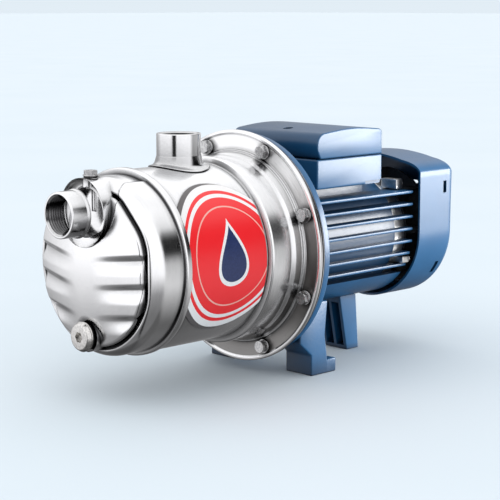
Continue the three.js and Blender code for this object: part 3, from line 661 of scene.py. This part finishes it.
def build_front_casing():
    at_suction = (0, 0, SUCTION_Z)
    at_drain = (0, 0, DRAIN_Z)
    at_priming = (PRIMING_X, 0, 0)
    casing = casing_form("front_casing_skin", 0.0, True)
    hollow = casing_form("hollow", -CASING_WALL, False)
    hollow.data.transform(Matrix.Translation((0.8, 0, 0)))
    cut(casing, hollow)
    boss = rod("boss", BOSS_REAR_X, SUCTION_BOSS_X, SUCTION_BOSS_R, "X", at_suction, ROUND,
               edge=SUCTION_BOSS_EDGE, steps=12)
    drain_boss = rod("drain_boss", BOSS_REAR_X, DRAIN_SEAT_X, DRAIN_BOSS_R, "X", at_drain, edge=1.2)
    priming_boss = rod("priming_boss", SUCTION_Z, PRIMING_SEAT_Z, PRIMING_BOSS_R, "Z", at_priming, edge=0.6)
    lip = lathe("lip", [
        (LIP_FRONT_X, CASING_R - 2), (LIP_FRONT_X, LIP_R, 1.6), (CASING_REAR_X, LIP_R, 0.5),
        (CASING_REAR_X, CASING_R - 2)])
    join(casing, boss, drain_boss, priming_boss, lip)
    boss_hollow = rod("boss_hollow", DOME_X + 12, SUCTION_BOSS_X + CASING_WALL + 1,
                      SUCTION_BOSS_R - CASING_WALL - 5, centre=at_suction)
    priming_face = rod("priming_face", PRIMING_SEAT_Z, PRIMING_SEAT_Z + 6, 7.5, "Z", at_priming)
    drain_face = rod("drain_face", DRAIN_SEAT_X - 6, DRAIN_SEAT_X, 13.8, centre=at_drain)
    mouth = rod("mouth", SUCTION_BOSS_X - 5, DOME_X + 10, PORT_BORE_R, centre=at_suction)
    priming_hole = rod("hole", SUCTION_Z, PRIMING_SEAT_Z + 5, PRIMING_HOLE_R, "Z", at_priming, SMALL)
    drain_hole = rod("hole", DRAIN_SEAT_X - 5, BOSS_REAR_X + 4, DRAIN_HOLE_R, "X", at_drain, SMALL)
    cut(casing, boss_hollow, priming_face, drain_face, mouth, priming_hole, drain_hole)
    install(casing, "stainless", "front_casing", look="pressed", crease=28)


def bolt_places():
    step = 2 * math.pi / BOLT_COUNT
    return [(BOLT_CIRCLE_R * math.cos((k + 0.5) * step), BOLT_CIRCLE_R * math.sin((k + 0.5) * step))
            for k in range(BOLT_COUNT)]


def round_holes(start, end, radius, places):
    """Cutters along X at (y, z) places."""
    return gathered(*(rod("hole", start, end, radius, centre=(0, *place), sides=SMALL) for place in places))


def build_barrel():
    inner = BARREL_R - 2
    skirt_inner = SKIRT_R - 2
    shell = lathe("pump_barrel_skin", [
        (SEAM_X, BARREL_R, 0.4), (SKIRT_X - 4.2, BARREL_R, 2), (SKIRT_X - 3, BARREL_R - 0.9, 0.7),
        (SKIRT_X - 1.6, BARREL_R, 0.8), (SKIRT_X, SKIRT_R, 2.2), (-16, SKIRT_R, 6), (-12, 80.6, 4),
        (-FLANGE_T - 2, 81.4, 1.2), (-FLANGE_T - 2.1, 83, 0.8), (-FLANGE_T, 83.8, 0.8),
        (-FLANGE_T, FLANGE_R - 4.2, 0.8), (-FLANGE_T - 0.9, FLANGE_R - 2.6, 1.2),
        (-FLANGE_T - 0.6, FLANGE_R, 1.3), (0, FLANGE_R, 1.0), (0, 79.6, 1.5), (-8, 79), (-14, skirt_inner),
        (SKIRT_X + 2, skirt_inner), (SKIRT_X, inner), (SEAM_X, inner)], sides=FINEST)
    outlet = rod("outlet", 60, 90, PORT_BORE_R, "Z", (DISCHARGE_X, 0, 0))
    cut(shell, outlet, round_holes(-FLANGE_T - 4, 2, BOLT_HOLE_R, bolt_places()))
    install(shell, "stainless", "pump_barrel")
    # the flange's front face, picked below, takes the look with the painted highlight towards its top
    shell.data.materials.append(LOOKS["flange"])
    for face in shell.data.polygons:
        middle = (face.center - ORIGIN) / MM
        reach = math.hypot(middle.y, middle.z)
        if face.normal.x < -0.9 and 84 < reach < FLANGE_R - 3:
            face.material_index = 1


# Ports

PIPE_PITCH = 2.31
THREAD_LENGTH = 14.0
NECK_Z = 83.0
FLARE_RISE = 5.6
FLARE_REACH = 6.2


def threaded_bore(mouth, inward):
    """Points down a bore with thread crests, from its mouth inwards."""
    points = [(mouth, PORT_BORE_R + 1.6), (mouth + inward * 1.4, PORT_BORE_R + 0.1)]
    for turn in range(int(THREAD_LENGTH / PIPE_PITCH)):
        start = mouth + inward * (1.6 + turn * PIPE_PITCH)
        points.append((start + inward * 0.5 * PIPE_PITCH, PORT_BORE_R + 1.15))
        points.append((start + inward * PIPE_PITCH, PORT_BORE_R))
    return points


def build_suction_port():
    seat = SUCTION_BOSS_X - 0.3
    outline = [(seat, PORT_BORE_R), (seat, PORT_R + 2.6, 0.5), (seat - 2.2, PORT_R + 0.1, 1.6),
               (SUCTION_MOUTH_X, PORT_R, 0.8)] + threaded_bore(SUCTION_MOUTH_X, 1)
    port = lathe("suction_port_skin", outline, centre=(0, 0, SUCTION_Z), sides=PORT_SIDES)
    install(port, "stainless", "suction_port", look="turned")


def saddle_ring(reach, height=0.0, level=0.0):
    """A ring round the neck. It follows the barrel at level 0, and is flat at level 1."""
    ring = []
    for x, y, _ in circle("Z", (DISCHARGE_X, 0, 0), 0, reach, PORT_SIDES):
        saddle = math.sqrt((BARREL_R + 0.35) ** 2 - y ** 2) + height
        ring.append((x, y, saddle + (NECK_Z - saddle) * level))
    return ring


def build_discharge_port():
    """A neck whose flared foot follows the barrel."""
    rings = [saddle_ring(25.3), saddle_ring(25.5, 0.5), saddle_ring(25.2, 1.0)]
    steps = 12
    for step in range(steps + 1):
        turn = step / steps * math.pi / 2
        reach = PORT_R + FLARE_REACH * (1 - math.sin(turn))
        height = 1.2 + FLARE_RISE * (1 - math.cos(turn))
        rings.append(saddle_ring(reach, height, smooth(step / steps, 0.4, 1)))
    outline = [(NECK_Z, PORT_R), (DISCHARGE_TOP_Z, PORT_R, 0.8)] + threaded_bore(DISCHARGE_TOP_Z, -1)
    for z, radius in rounded(outline, closed=False)[1:] + [(78.0, PORT_BORE_R)]:
        rings.append(circle("Z", (DISCHARGE_X, 0, 0), z, radius, PORT_SIDES))
    rings.append(saddle_ring(PORT_BORE_R))
    port = skin("discharge_port_skin", rings, ring_loop=True)
    install(port, "stainless", "discharge_port", look="turned")


# Plugs, bolts and screws

def hexagon(start, end, across_flats, axis, centre):
    """A hexagon head whose outer end, at the end value, is chamfered."""
    corner = across_flats / math.sqrt(3)
    chamfer = 0.16 * (end - start)
    head = rod("head", start, end, corner, axis, centre, 6)
    cone = lathe("cone", [(start, 0), (start, corner * 1.3), (end - chamfer, corner * 1.06),
                          (end, corner * 0.87), (end, 0)], axis, centre, MEDIUM)
    return combine(head, "INTERSECT", [cone])


def build_washer(plug, start, end, inner, outer, edge, axis, centre):
    """The rubber washer under a plug."""
    washer = lathe(f"{plug}_washer_skin", [
        (start, inner), (start, outer, edge), (end, outer, edge), (end, inner)], axis, centre, MEDIUM, 3)
    install(washer, "black_rubber", f"{plug}_plug_washer", body=f"{plug}_seal", crease=35)


def build_priming_plug():
    seat = PRIMING_SEAT_Z
    under = seat + 1.4
    shank_r, collar_r = 4.0, 6.4
    centre = (PRIMING_X, 0, 0)
    build_washer("priming", seat + 0.3, seat + 1.1, PRIMING_HOLE_R, 5.7, 0.3, "Z", centre)
    plug = lathe("priming_plug_skin", [
        (seat - 9, 0), (seat - 9, shank_r, 0.6), (under, shank_r), (under, collar_r, 0.3),
        (under + 0.9, collar_r, 0.4), (under + 1.1, 0)], "Z", centre, MEDIUM, 3)
    join(plug, hexagon(under + 0.5, under + 4.4, 10, "Z", centre))
    install(plug, "zinc_steel", "priming_plug", body="priming_screw", crease=25)


def build_drain_plug():
    seat = DRAIN_SEAT_X
    under = seat - 1.8
    front = span("drain_plug", "X")[0]
    shank_r, head_r, face_r = 6.5, 12.2, 10.4
    centre = (0, 0, DRAIN_Z)
    build_washer("drain", seat - 0.3, seat - 1.5, DRAIN_HOLE_R, 11.7, 0.4, "X", centre)
    plug = lathe("drain_plug_skin", [
        (seat + 10, 0), (seat + 10, shank_r, 0.8), (under, shank_r), (under, head_r, 0.5),
        (under - 2.4, head_r, 1.0), (front, face_r, 1.6), (front, 0)], "X", centre, PORT_SIDES)
    cut(plug, rod("socket", front + 4.6, front - 1, 8 / math.sqrt(3), "X", centre, 6))
    install(plug, "plug_steel", "drain_plug", body="drain_screw", crease=25)


def build_flange_bolts():
    front, rear = span("flange_bolt_1", "X")
    shank_r, washer_r = 3.0, 6.0
    washer_x = -FLANGE_T - 0.3
    for number, place in enumerate(bolt_places(), 1):
        centre = (0, *place)
        bolt = lathe(f"flange_bolt_{number}_skin", [
            (rear, 0), (rear, shank_r, 0.5), (washer_x, shank_r), (washer_x, washer_r, 0.3),
            (washer_x - 1.3, washer_r, 0.3), (washer_x - 1.4, 0)], "X", centre, SCREW_SIDES, 3)
        head = hexagon(washer_x - 1.1, front, 10, "X", (0, 0, 0))
        head.data.transform(Matrix.Rotation(math.radians(17 * number), 4, "X"))
        head.data.transform(Matrix.Translation(centre))
        join(bolt, head)
        install(bolt, "zinc_steel", f"flange_bolt_{number}", crease=25)


def cross_screw(node, start, head_x, axis, centre, shank_r, head_r, head_h):
    """A pan head screw with a cross recess. The head points to the rising axis."""
    top = head_x + head_h
    screw = lathe(f"{node}_skin", [
        (start, 0), (start, shank_r), (head_x, shank_r), (head_x, head_r, 0.3),
        (top - head_h * 0.25, head_r * 0.9, 1), (top, head_r * 0.35), (top, 0)], axis, centre, SCREW_SIDES)
    x, y, z = centre
    recess = (top - head_h * 0.6, top + 1)
    arm, width = head_r * 0.55, head_r * 0.16
    for first, second in ((arm, width), (width, arm)):
        if axis == "X":
            cut(screw, slab("arm", recess, (y - first, y + first), (z - second, z + second)))
        else:
            cut(screw, slab("arm", (x - first, x + first), (y - second, y + second), recess))
    install(screw, "zinc_steel", node)


# Label

def wrapped_patch(name, outline, middle, radius, thickness, look, *nodes, rows=26):
    """A thin film on the barrel. Its outline is drawn flat, as (along, up) from the label's middle."""
    rings = []
    for level in (0.0, thickness):
        order = range(rows + 1) if level == 0 else range(rows, -1, -1)
        for row in order:
            share = max(row / rows, 1e-4)
            ring = []
            for along, up in outline:
                u = middle[0] + (along - middle[0]) * share
                v = middle[1] + (up - middle[1]) * share
                angle = math.asin(v / BARREL_R) + LABEL_TILT
                shell = radius + level
                ring.append((LABEL_X + u, -shell * math.cos(angle), shell * math.sin(angle)))
            rings.append(ring)
    install(skin(name, rings), "red_film", *nodes, look=look, crease=50)


def drop_outline(width, height, lift):
    """A water drop with its tip up."""
    count = 96
    points = []
    for k in range(count):
        turn = 2 * math.pi * (k + 0.5) / count
        across = width * math.sin(turn) * math.sin(turn / 2) ** 1.6
        points.append((PRINT_SHIFT + across, lift + height * math.cos(turn)))
    return points


def build_label():
    low, high = span("side_label", "X")
    half = (high - low) / 2
    count = 192
    edge = []
    for k in range(count):
        angle = 2 * math.pi * (k + 0.5) / count
        reach = min(LABEL_R, half / max(abs(math.cos(angle)), 1e-6))
        edge.append((reach * math.cos(angle), reach * math.sin(angle)))
    base = BARREL_R + 0.3
    ink_t = 0.08
    middle = (PRINT_SHIFT, -8)
    wrapped_patch("side_label_skin", edge, (0, 0), base, 0.4, "red_film", "side_label", rows=40)
    wrapped_patch("side_label_drop_edge", drop_outline(24, 27, 3), middle, base + 0.42, ink_t, "white_ink")
    wrapped_patch("side_label_drop", drop_outline(20, 22.4, 1.8), middle, base + 0.52, ink_t, "navy_ink")


# Flange joint and motor

BEARING_R = 17.8
SHAFT_HOLE_R = 12.0
FOOT_Y = (32.0, 63.0)
FOOT_SLOT_X = 48.0
FOOT_SLOT_R = 4.0
HOUSING_BORE_R = 46.3
HOUSING_R = 52.0
FIN_R = 60.0
FIN_ROOT_R = 49.0
FIN_TOP_Z = 38.0
FIN_STEP = 11.2
FIN_COUNT = 7
FIN_HALF = 1.25


def build_gasket():
    front, rear = span("flange_gasket", "X")
    inner, outer = 83.0, span("flange_gasket", "Z")[1]
    gasket = lathe("flange_gasket_skin", [
        (front, inner), (front, outer, 0.4), (rear, outer, 0.4), (rear, inner)], sides=FINEST, steps=3)
    install(gasket, "black_rubber", "flange_gasket", crease=35)


def build_seal_plate():
    front, thickness = 2.6, 1.9
    rear = front + thickness
    hub_r, hole_r, outer = 18.0, 13.0, span("seal_plate", "Z")[1]
    plate = lathe("seal_plate_skin", [
        (front, hub_r), (front, outer, 0.5), (rear, outer, 0.5), (rear, 20), (7, hub_r), (7, hole_r),
        (-1, hole_r), (-1, hub_r)], sides=FINEST, steps=3)
    install(plate, "stainless", "seal_plate", crease=35)


def build_foot(side):
    ys = sorted(side * y for y in FOOT_Y)
    middle = sum(ys) / 2
    root = BRACKET_X + 7.1
    leg = bevelled(prism("leg", [
        (root, -46), (46, -46), (43, -76), (48, FLOOR_Z), (26, FLOOR_Z), (26, -92), (root, -80)],
        "Y", *ys), 1.4)
    toe = slab("toe", (26.3, 57), (ys[0] + 0.02, ys[1] - 0.02), (FLOOR_Z + 0.02, FLOOR_Z + 12))
    deep = (FLOOR_Z - 2, FLOOR_Z + 14)
    slot = slab("slot", (FOOT_SLOT_X, 60), (middle - FOOT_SLOT_R, middle + FOOT_SLOT_R), deep)
    slot_end = rod("slot_end", *deep, FOOT_SLOT_R, "Z", (FOOT_SLOT_X, middle, 0), SMALL)
    return cut(join(leg, bevelled(toe, 1.2)), slot, slot_end)


def build_bracket():
    disc_rear = BRACKET_X + 7.2
    spigot_x = HOUSING_X[0] - 0.3
    casting = lathe("motor_bracket_skin", [
        (BRACKET_X, BRACKET_R, 0.8), (disc_rear, BRACKET_R, 1.6), (disc_rear, 70, 3), (22, 63, 4),
        (spigot_x, 62, 1), (spigot_x, 50), (26, 50), (26, 24), (32, 24), (32, BEARING_R), (20.3, BEARING_R),
        (20.3, SHAFT_HOLE_R), (12, SHAFT_HOLE_R), (12, 22), (18, 24), (18, 56), (BRACKET_X, 60)],
        sides=FINE)
    ribs = []
    for turn in (30, 90, 150):
        rib = bevelled(slab("rib", (BRACKET_X + 4, BRACKET_X + 20), (-2, 2), (-84, 84)), 1.2)
        rib.data.transform(Matrix.Rotation(math.radians(turn), 4, "X"))
        ribs.append(rib)
    feet = join(build_foot(-1), build_foot(1))
    cut(feet, rod("room", spigot_x, 60, 61, sides=ROUND))
    limbs = join(feet, *ribs)
    cut(limbs, rod("bore", 0, 60, 58, sides=ROUND))
    holes = round_holes(BRACKET_X - 2, BRACKET_X + 6.6, BOLT_HOLE_R, bolt_places())
    cut(join(casting, limbs), holes)
    install(casting, "blue_casting", "motor_bracket")


def build_housing():
    front, rear = HOUSING_X
    body = lathe("motor_housing_skin", [
        (front, HOUSING_BORE_R), (front, HOUSING_R, 0.8), (rear, HOUSING_R, 0.6), (rear, HOUSING_BORE_R)],
        sides=FINE)
    band = lathe("band", [
        (front, HOUSING_BORE_R), (front, FIN_R, 1.2), (FIN_END_X, FIN_R, 1.2), (FIN_END_X, HOUSING_BORE_R)],
        sides=FINE)
    cut(band, slab("above", (0, 200), (-90, 90), (-37, 90)))
    limbs = []
    for number in range(FIN_COUNT):
        z = FIN_TOP_Z - number * FIN_STEP
        tip = FIN_R if z > 0 else math.sqrt(FIN_R ** 2 - z ** 2)
        fin = slab("fin", (front, FIN_END_X), (-tip, tip), (z - FIN_HALF, z + FIN_HALF))
        limbs.append(bevelled(fin, 0.6, 2))
    limbs.append(bevelled(slab("pad", (BOX_X[0] + 4, BOX_X[1] - 4), (-34, 34), (30, 53)), 1.5))
    for limb in limbs:
        cut(limb, rod("bore", 0, 200, FIN_ROOT_R, sides=ROUND))
    join(body, band, *limbs)
    cut(body, rod("room", rear, 200, 51.8, sides=ROUND))
    install(body, "blue_casting", "motor_housing")


def build_end_shield():
    front, rear = SHIELD_X
    shield = lathe("rear_end_shield_skin", [
        (140.5, BEARING_R), (140.5, 21.5, 0.6), (front, 21.5, 1), (front, 51.5, 0.6), (rear, 51.5, 0.8),
        (rear, 46, 0.6), (155, 42, 2), (155, SHAFT_HOLE_R), (152.8, SHAFT_HOLE_R), (152.8, BEARING_R)],
        sides=FINE)
    places = [(-43.5, 44.5), (43.5, 44.5), (-53.5, -23.8), (53.5, -23.8)]
    ears = []
    for y, z in places:
        near, far, half = (30.0, 48.0, 4.5) if z > 0 else (40.0, 57.0, 2.95)
        ys = sorted(math.copysign(reach, y) for reach in (near, far))
        ears.append(bevelled(slab("ear", (152, rear), ys, (z - half, z + half)), 0.8, 2))
    limbs = gathered(*ears)
    cut(limbs, rod("centre", 130, 170, 44, sides=ROUND))
    join(shield, limbs)
    cut(shield, round_holes(153, 170, 2.1, places))
    install(shield, "bare_aluminium", "rear_end_shield")
    for number, place in enumerate(places, 1):
        cross_screw(f"end_shield_screw_{number}", 154, rear + 0.3, "X", (0, *place),
                    shank_r=1.8, head_r=3.2, head_h=2.7)


# Fan cover

GRILLE_STEP = 10.0
GRILLE_R = 46.0
GRILLE_HALF = 1.6


def cover_section(offset, steps=12):
    """Section of the fan cover: round below, upright sides and a low crowned roof."""
    radius = COVER_R + offset
    shoulder, top = 55.0, 70.5 + offset
    eaves = (radius - 22, top - 5)
    side = [(radius, shoulder * step / steps) for step in range(1, steps)]
    for start, middle, end in (((radius, shoulder), (radius - 3, shoulder + 8 + offset), eaves),
                               (eaves, (radius / 3, top), (0, top))):
        for step in range(steps):
            t = step / steps
            side.append(tuple((1 - t) ** 2 * a + 2 * t * (1 - t) * b + t * t * c
                              for a, b, c in zip(start, middle, end)))
    turns = [math.pi * step / (steps * 6) - math.pi for step in range(steps * 6)]
    below = [(radius * math.cos(turn), radius * math.sin(turn)) for turn in turns]
    return below + [(radius, 0)] + side + [(0, top)] + [(-y, z) for y, z in reversed(side)]


def cover_form(name, offset, corner, front):
    section = cover_section(offset)
    rear = COVER_X[1] + offset
    stations = [(front, 0.0), (COVER_X[0] + 20, 0.0)]
    for step in range(11):
        turn = math.pi / 2 * step / 10
        stations.append((rear - corner + corner * math.sin(turn), corner - corner * math.cos(turn)))
    for share in (0.25, 0.5, 0.75):
        stations.append((rear, corner + share * (COVER_R - corner)))
    rings = []
    for x, inset in stations:
        ring = []
        for y, z in section:
            kept = 1 - inset / math.hypot(y, z)
            ring.append((x, kept * y, kept * z))
        rings.append(ring)
    return skin(name, rings)


def stadium(half_length, half_height, steps=8):
    points = []
    reach = half_length - half_height
    for centre, start in ((reach, -math.pi / 2), (-reach, math.pi / 2)):
        for step in range(steps + 1):
            angle = start + math.pi * step / steps
            points.append((centre + half_height * math.cos(angle), half_height * math.sin(angle)))
    return points


def build_fan_cover():
    cover = cover_form("fan_cover_skin", 0.0, 9.0, COVER_X[0])
    cut(cover, cover_form("inside", -2.0, 8.0, COVER_X[0] - 5))
    slots = []
    for row in range(-4, 5):
        z = GRILLE_STEP * row
        half = math.sqrt(GRILLE_R ** 2 - z ** 2)
        outline = [(y, z + rise) for y, rise in stadium(half, GRILLE_HALF)]
        slots.append(prism("slot", outline, "X", COVER_X[1] - 6, COVER_X[1] + 1))
    cut(cover, gathered(*slots))
    windows = [slab("window", (199, 203.5), (-80, 80), (z - 5.5, z + 5.5)) for z in (40, -36)]
    cut(cover, gathered(*windows))
    install(cover, "blue_paint", "fan_cover", crease=32)


def build_rear_foot():
    side = [(114, -50), (137, -50), (142, FLOOR_Z), (126, FLOOR_Z)]
    leg = bevelled(prism("rear_foot_skin", side, "Y", -13.5, 13.5), 1.0)
    hollow = [(100, -65), (131, -65), (138.5, FLOOR_Z + 4), (100, FLOOR_Z + 4)]
    hollows = [prism("hollow", hollow, "Y", *ys) for ys in ((-10.5, -1.5), (1.5, 10.5))]
    cut(leg, rod("saddle", 100, 160, FIN_R + 0.3, sides=ROUND), *hollows)
    install(leg, "blue_paint", "rear_foot")


# Terminal box

BOX_WALL = 2.5
CABLE_AT = (105.0, 0, 65.0)
LID_SCREW_R = 2.0


def build_terminal_box():
    front, rear = BOX_X
    bottom, top = BOX_Z
    box = slab("terminal_box_skin", (front, rear), (-BOX_Y, BOX_Y), (bottom, top))
    bevelled(box, 1.6)
    inside = slab("inside", (front + BOX_WALL, rear - BOX_WALL), (BOX_WALL - BOX_Y, BOX_Y - BOX_WALL),
                  (55.8, top + 1))
    under = slab("under", (front - 1, rear + 1), (5 - BOX_Y, BOX_Y - 5), (bottom - 1, 53.3))
    notch = slab("notch", (rear - 22, rear + 1), (-BOX_Y - 1, -BOX_Y + 2.4), (bottom - 1, bottom + 3.2))
    inlet = rod("inlet", BOX_Y - 10, BOX_Y + 10, 7, "Y", CABLE_AT, SMALL)
    cut(box, inside, under, notch, inlet)
    install(box, "blue_paint", "terminal_box")


def lid_outline():
    """The lid from the side: a crowned top, and a large round at its front edge."""
    front, rear = BOX_X
    base = BOX_Z[1] + 0.3
    crown = span("terminal_box_lid", "Z")[1] - LID_TOP_Z
    corner = 10.0
    outline = [(front + 4, base), (rear, base), (rear, LID_TOP_Z - 2), (rear - 3, LID_TOP_Z)]
    crown_steps, corner_steps = 14, 8
    for step in range(1, crown_steps + 1):
        share = step / crown_steps
        x = rear - 3 - share * (rear - front - 13)
        outline.append((x, LID_TOP_Z + crown * math.sin(math.pi * share)))
    for step in range(1, corner_steps):
        turn = math.pi / 2 * step / corner_steps
        x = front + corner - corner * math.sin(turn)
        outline.append((x, LID_TOP_Z - corner + corner * math.cos(turn)))
    return outline + [(front, LID_TOP_Z - corner), (front, base + 8)]


def build_lid():
    front, rear = BOX_X
    base = BOX_Z[1] + 0.3
    lid = bevelled(prism("terminal_box_lid_skin", lid_outline(), "Y", -BOX_Y, BOX_Y), 1.3, 3, 40)
    cut(lid, slab("room", (front + 9, rear - BOX_WALL), (BOX_WALL - BOX_Y, BOX_Y - BOX_WALL),
                  (base - 1, LID_TOP_Z - BOX_WALL)))
    places = [front + 18, rear - 12]
    for x in places:
        centre = (x, 0, 0)
        join(lid, rod("boss", base, LID_TOP_Z - 1, 7, "Z", centre))
        cut(lid, rod("hole", base - 1, LID_TOP_Z + 6, LID_SCREW_R + 0.3, "Z", centre, SMALL),
            rod("sink", LID_TOP_Z - 3.5, LID_TOP_Z + 6, 4.6, "Z", centre))
    install(lid, "blue_paint", "terminal_box_lid")
    for number, x in enumerate(places, 1):
        cross_screw(f"lid_screw_{number}", base + 1, LID_TOP_Z - 3.2, "Z", (x, 0, 0),
                    shank_r=LID_SCREW_R, head_r=4, head_h=2.6)


def build_cable_gland():
    wall = BOX_Y + 0.3
    cable_r, thread_r = 4.5, 8.0
    body = lathe("cable_gland_skin", [
        (BOX_Y - 8, cable_r), (BOX_Y - 8, 6.7, 0.4), (wall, 6.7), (wall, 9.5, 0.6), (wall + 5, 9.5, 0.6),
        (wall + 5, thread_r), (wall + 8, thread_r, 0.4), (wall + 8, cable_r)], "Y", CABLE_AT, MEDIUM, 3)
    install(body, "dark_plastic", "cable_gland")
    nut = lathe("cable_gland_nut_skin", [
        (wall + 8.3, cable_r), (wall + 8.3, 9.1, 0.5), (wall + 14, 9.1, 2.5), (wall + 17, 6.6, 1.2),
        (wall + 17, cable_r)], "Y", CABLE_AT, MEDIUM, 6)
    ribs = []
    count = 12
    for k in range(count):
        rib = slab("rib", (8.6, 9.7), (wall + 8.9, wall + 13.5), (-0.8, 0.8))
        rib.data.transform(Matrix.Rotation(2 * math.pi * k / count, 4, "Y"))
        rib.data.transform(Matrix.Translation(CABLE_AT))
        ribs.append(rib)
    join(nut, gathered(*ribs))
    install(nut, "dark_plastic", "cable_gland_nut")


def dress_inner_nodes():
    """Gives every CAD node the material of its slot, for those that stay in sight."""
    slots = {row["node"]: row["material_slot"] for row in frame["record"]["subparts"]}
    for name, node in frame["nodes"].items():
        node.data.materials.clear()
        node.data.materials.append(LOOKS[slots[name]])


# Stage, light and camera, in metres

VIEW_AZIMUTH = math.radians(-44.45)
VIEW_ELEVATION = math.radians(8.94)
CAMERA_TARGET = Vector((0.0024, -0.0005, 0.1043))
CAMERA_DISTANCE = 1.365
CAMERA_LENS = 112.9
CAMERA_SENSOR = 36
BACKDROP = (0.765, 0.852, 0.920, 1)
SOFTBOX_AT = Vector((0.80, -0.85, 0.30))
SOFTBOX_TARGET = Vector((0.10, -0.05, 0.12))
SOFTBOX_SIZE = (1.1, 0.56)
SOFTBOX_WATTS = 40
FLOOR_HALF = 40.0
FLOOR_T = 0.02


def build_floor():
    floor = slab("floor", (-FLOOR_HALF, FLOOR_HALF), (-FLOOR_HALF, FLOOR_HALF), (-FLOOR_T, 0))
    look = Look("floor_paper", Specular_IOR_Level=0.2, Roughness=0.8)
    grain = look.noise(look.object_point(), 3.0, 2.0)
    paper = look.ramp(grain, [(0.3, (0.66, 0.745, 0.80)), (0.7, (0.68, 0.76, 0.815))])
    look.link(paper, look.inputs["Base Color"])
    floor.data.materials.append(look.material)
    floor.visible_glossy = False


def build_world():
    """A studio painted by direction: what the steel mirrors, what lights the paint, a plain backdrop.

    Turn is the angle round Z, as a share: 0.5 looks back along the main view, 0.75 to its right.
    Height is a share too: 0 straight down, 0.5 level and 1 straight up.
    """
    world = bpy.data.worlds.new("studio")
    bpy.context.scene.world = world
    world.use_nodes = True
    nodes = Nodes(world.node_tree)
    world.node_tree.nodes.clear()

    def halved(value, scale):
        return nodes.math("ADD", nodes.math("MULTIPLY", value, scale), 0.5)

    def greys(source, *stops):
        return nodes.ramp(source, [(place, (value, value, value * 1.01)) for place, value in stops])

    x, y, z = nodes.split(nodes.add("ShaderNodeTexCoord").outputs["Generated"])
    back_x, back_y = math.sin(VIEW_AZIMUTH), -math.cos(VIEW_AZIMUTH)
    ahead = nodes.weighted(x, back_x, y, back_y)
    side = nodes.weighted(x, -back_y, y, back_x)
    turn = halved(nodes.math("ARCTAN2", side, ahead), 0.5 / math.pi)
    height = halved(z, 0.5)

    front = greys(height, (0.10, 0.20), (0.26, 0.36), (0.36, 0.85), (0.43, 1.30), (0.55, 1.40), (1.0, 1.35))
    round_low = greys(
        turn, (0.06, 0.40), (0.14, 0.50), (0.22, 1.0), (0.38, 1.0), (0.400, 0.85), (0.412, 0.70),
        (0.420, 0.02), (0.464, 0.02), (0.478, 0.95), (0.70, 0.95), (0.9, 0.75), (1.0, 0.45))
    low = nodes.mix(1.0, front, round_low, "MULTIPLY")
    left = nodes.mix(greys(height, (0.64, 0.0), (0.74, 1.0)), low, front)
    right = greys(
        height, (0.12, 0.12), (0.17, 0.30), (0.24, 0.50), (0.33, 0.80), (0.43, 0.72), (0.51, 0.60),
        (0.555, 0.30), (0.59, 0.02), (0.61, 0.006), (0.705, 0.006), (0.74, 0.25), (0.775, 0.95),
        (0.87, 1.25))
    right_share = greys(turn, (0.68, 0.0), (0.72, 1.0), (0.86, 1.0), (0.94, 0.0))

    in_sight = nodes.add("ShaderNodeLightPath").outputs["Is Camera Ray"]
    studio = nodes.add("ShaderNodeBackground", {"Color": nodes.mix(right_share, left, right)})
    plain = nodes.add("ShaderNodeBackground", {"Color": BACKDROP})
    shown = nodes.add("ShaderNodeMixShader", {0: in_sight, 1: studio.outputs[0], 2: plain.outputs[0]})
    nodes.add("ShaderNodeOutputWorld", {0: shown.outputs[0]})


def build_softbox():
    """A low softbox on the right that only the blue pieces take."""
    blue = bpy.data.collections.new("blue_pieces")
    for piece in list(bpy.context.scene.objects):
        if piece.type == "MESH" and piece.data.materials:
            if piece.data.materials[0] in (LOOKS["blue_paint"], LOOKS["blue_casting"]):
                blue.objects.link(piece)
    data = bpy.data.lights.new("softbox", "AREA")
    data.shape = "RECTANGLE"
    data.size, data.size_y = SOFTBOX_SIZE
    data.energy = SOFTBOX_WATTS
    lamp = bpy.data.objects.new("softbox", data)
    bpy.context.scene.collection.objects.link(lamp)
    lamp.location = SOFTBOX_AT
    lamp.rotation_euler = (SOFTBOX_TARGET - SOFTBOX_AT).to_track_quat("-Z", "Y").to_euler()
    lamp.visible_camera = False
    lamp.light_linking.receiver_collection = blue


def build_camera():
    level = math.cos(VIEW_ELEVATION)
    across, back = math.sin(VIEW_AZIMUTH) * level, -math.cos(VIEW_AZIMUTH) * level
    away = Vector((across, back, math.sin(VIEW_ELEVATION)))
    data = bpy.data.cameras.new("camera")
    data.lens = CAMERA_LENS
    data.sensor_width = CAMERA_SENSOR
    camera = bpy.data.objects.new("camera", data)
    bpy.context.scene.collection.objects.link(camera)
    camera.location = CAMERA_TARGET + away * CAMERA_DISTANCE
    camera.rotation_euler = (-away).to_track_quat("-Z", "Y").to_euler()
    bpy.context.scene.camera = camera


dress_inner_nodes()
build_front_casing()
build_barrel()
build_suction_port()
build_discharge_port()
build_priming_plug()
build_drain_plug()
build_label()
build_gasket()
build_seal_plate()
build_flange_bolts()
build_bracket()
build_housing()
build_end_shield()
build_fan_cover()
build_rear_foot()
build_terminal_box()
build_lid()
build_cable_gland()
build_floor()
build_world()
build_softbox()
build_camera()
bpy.context.scene.view_settings.view_transform = "Standard"
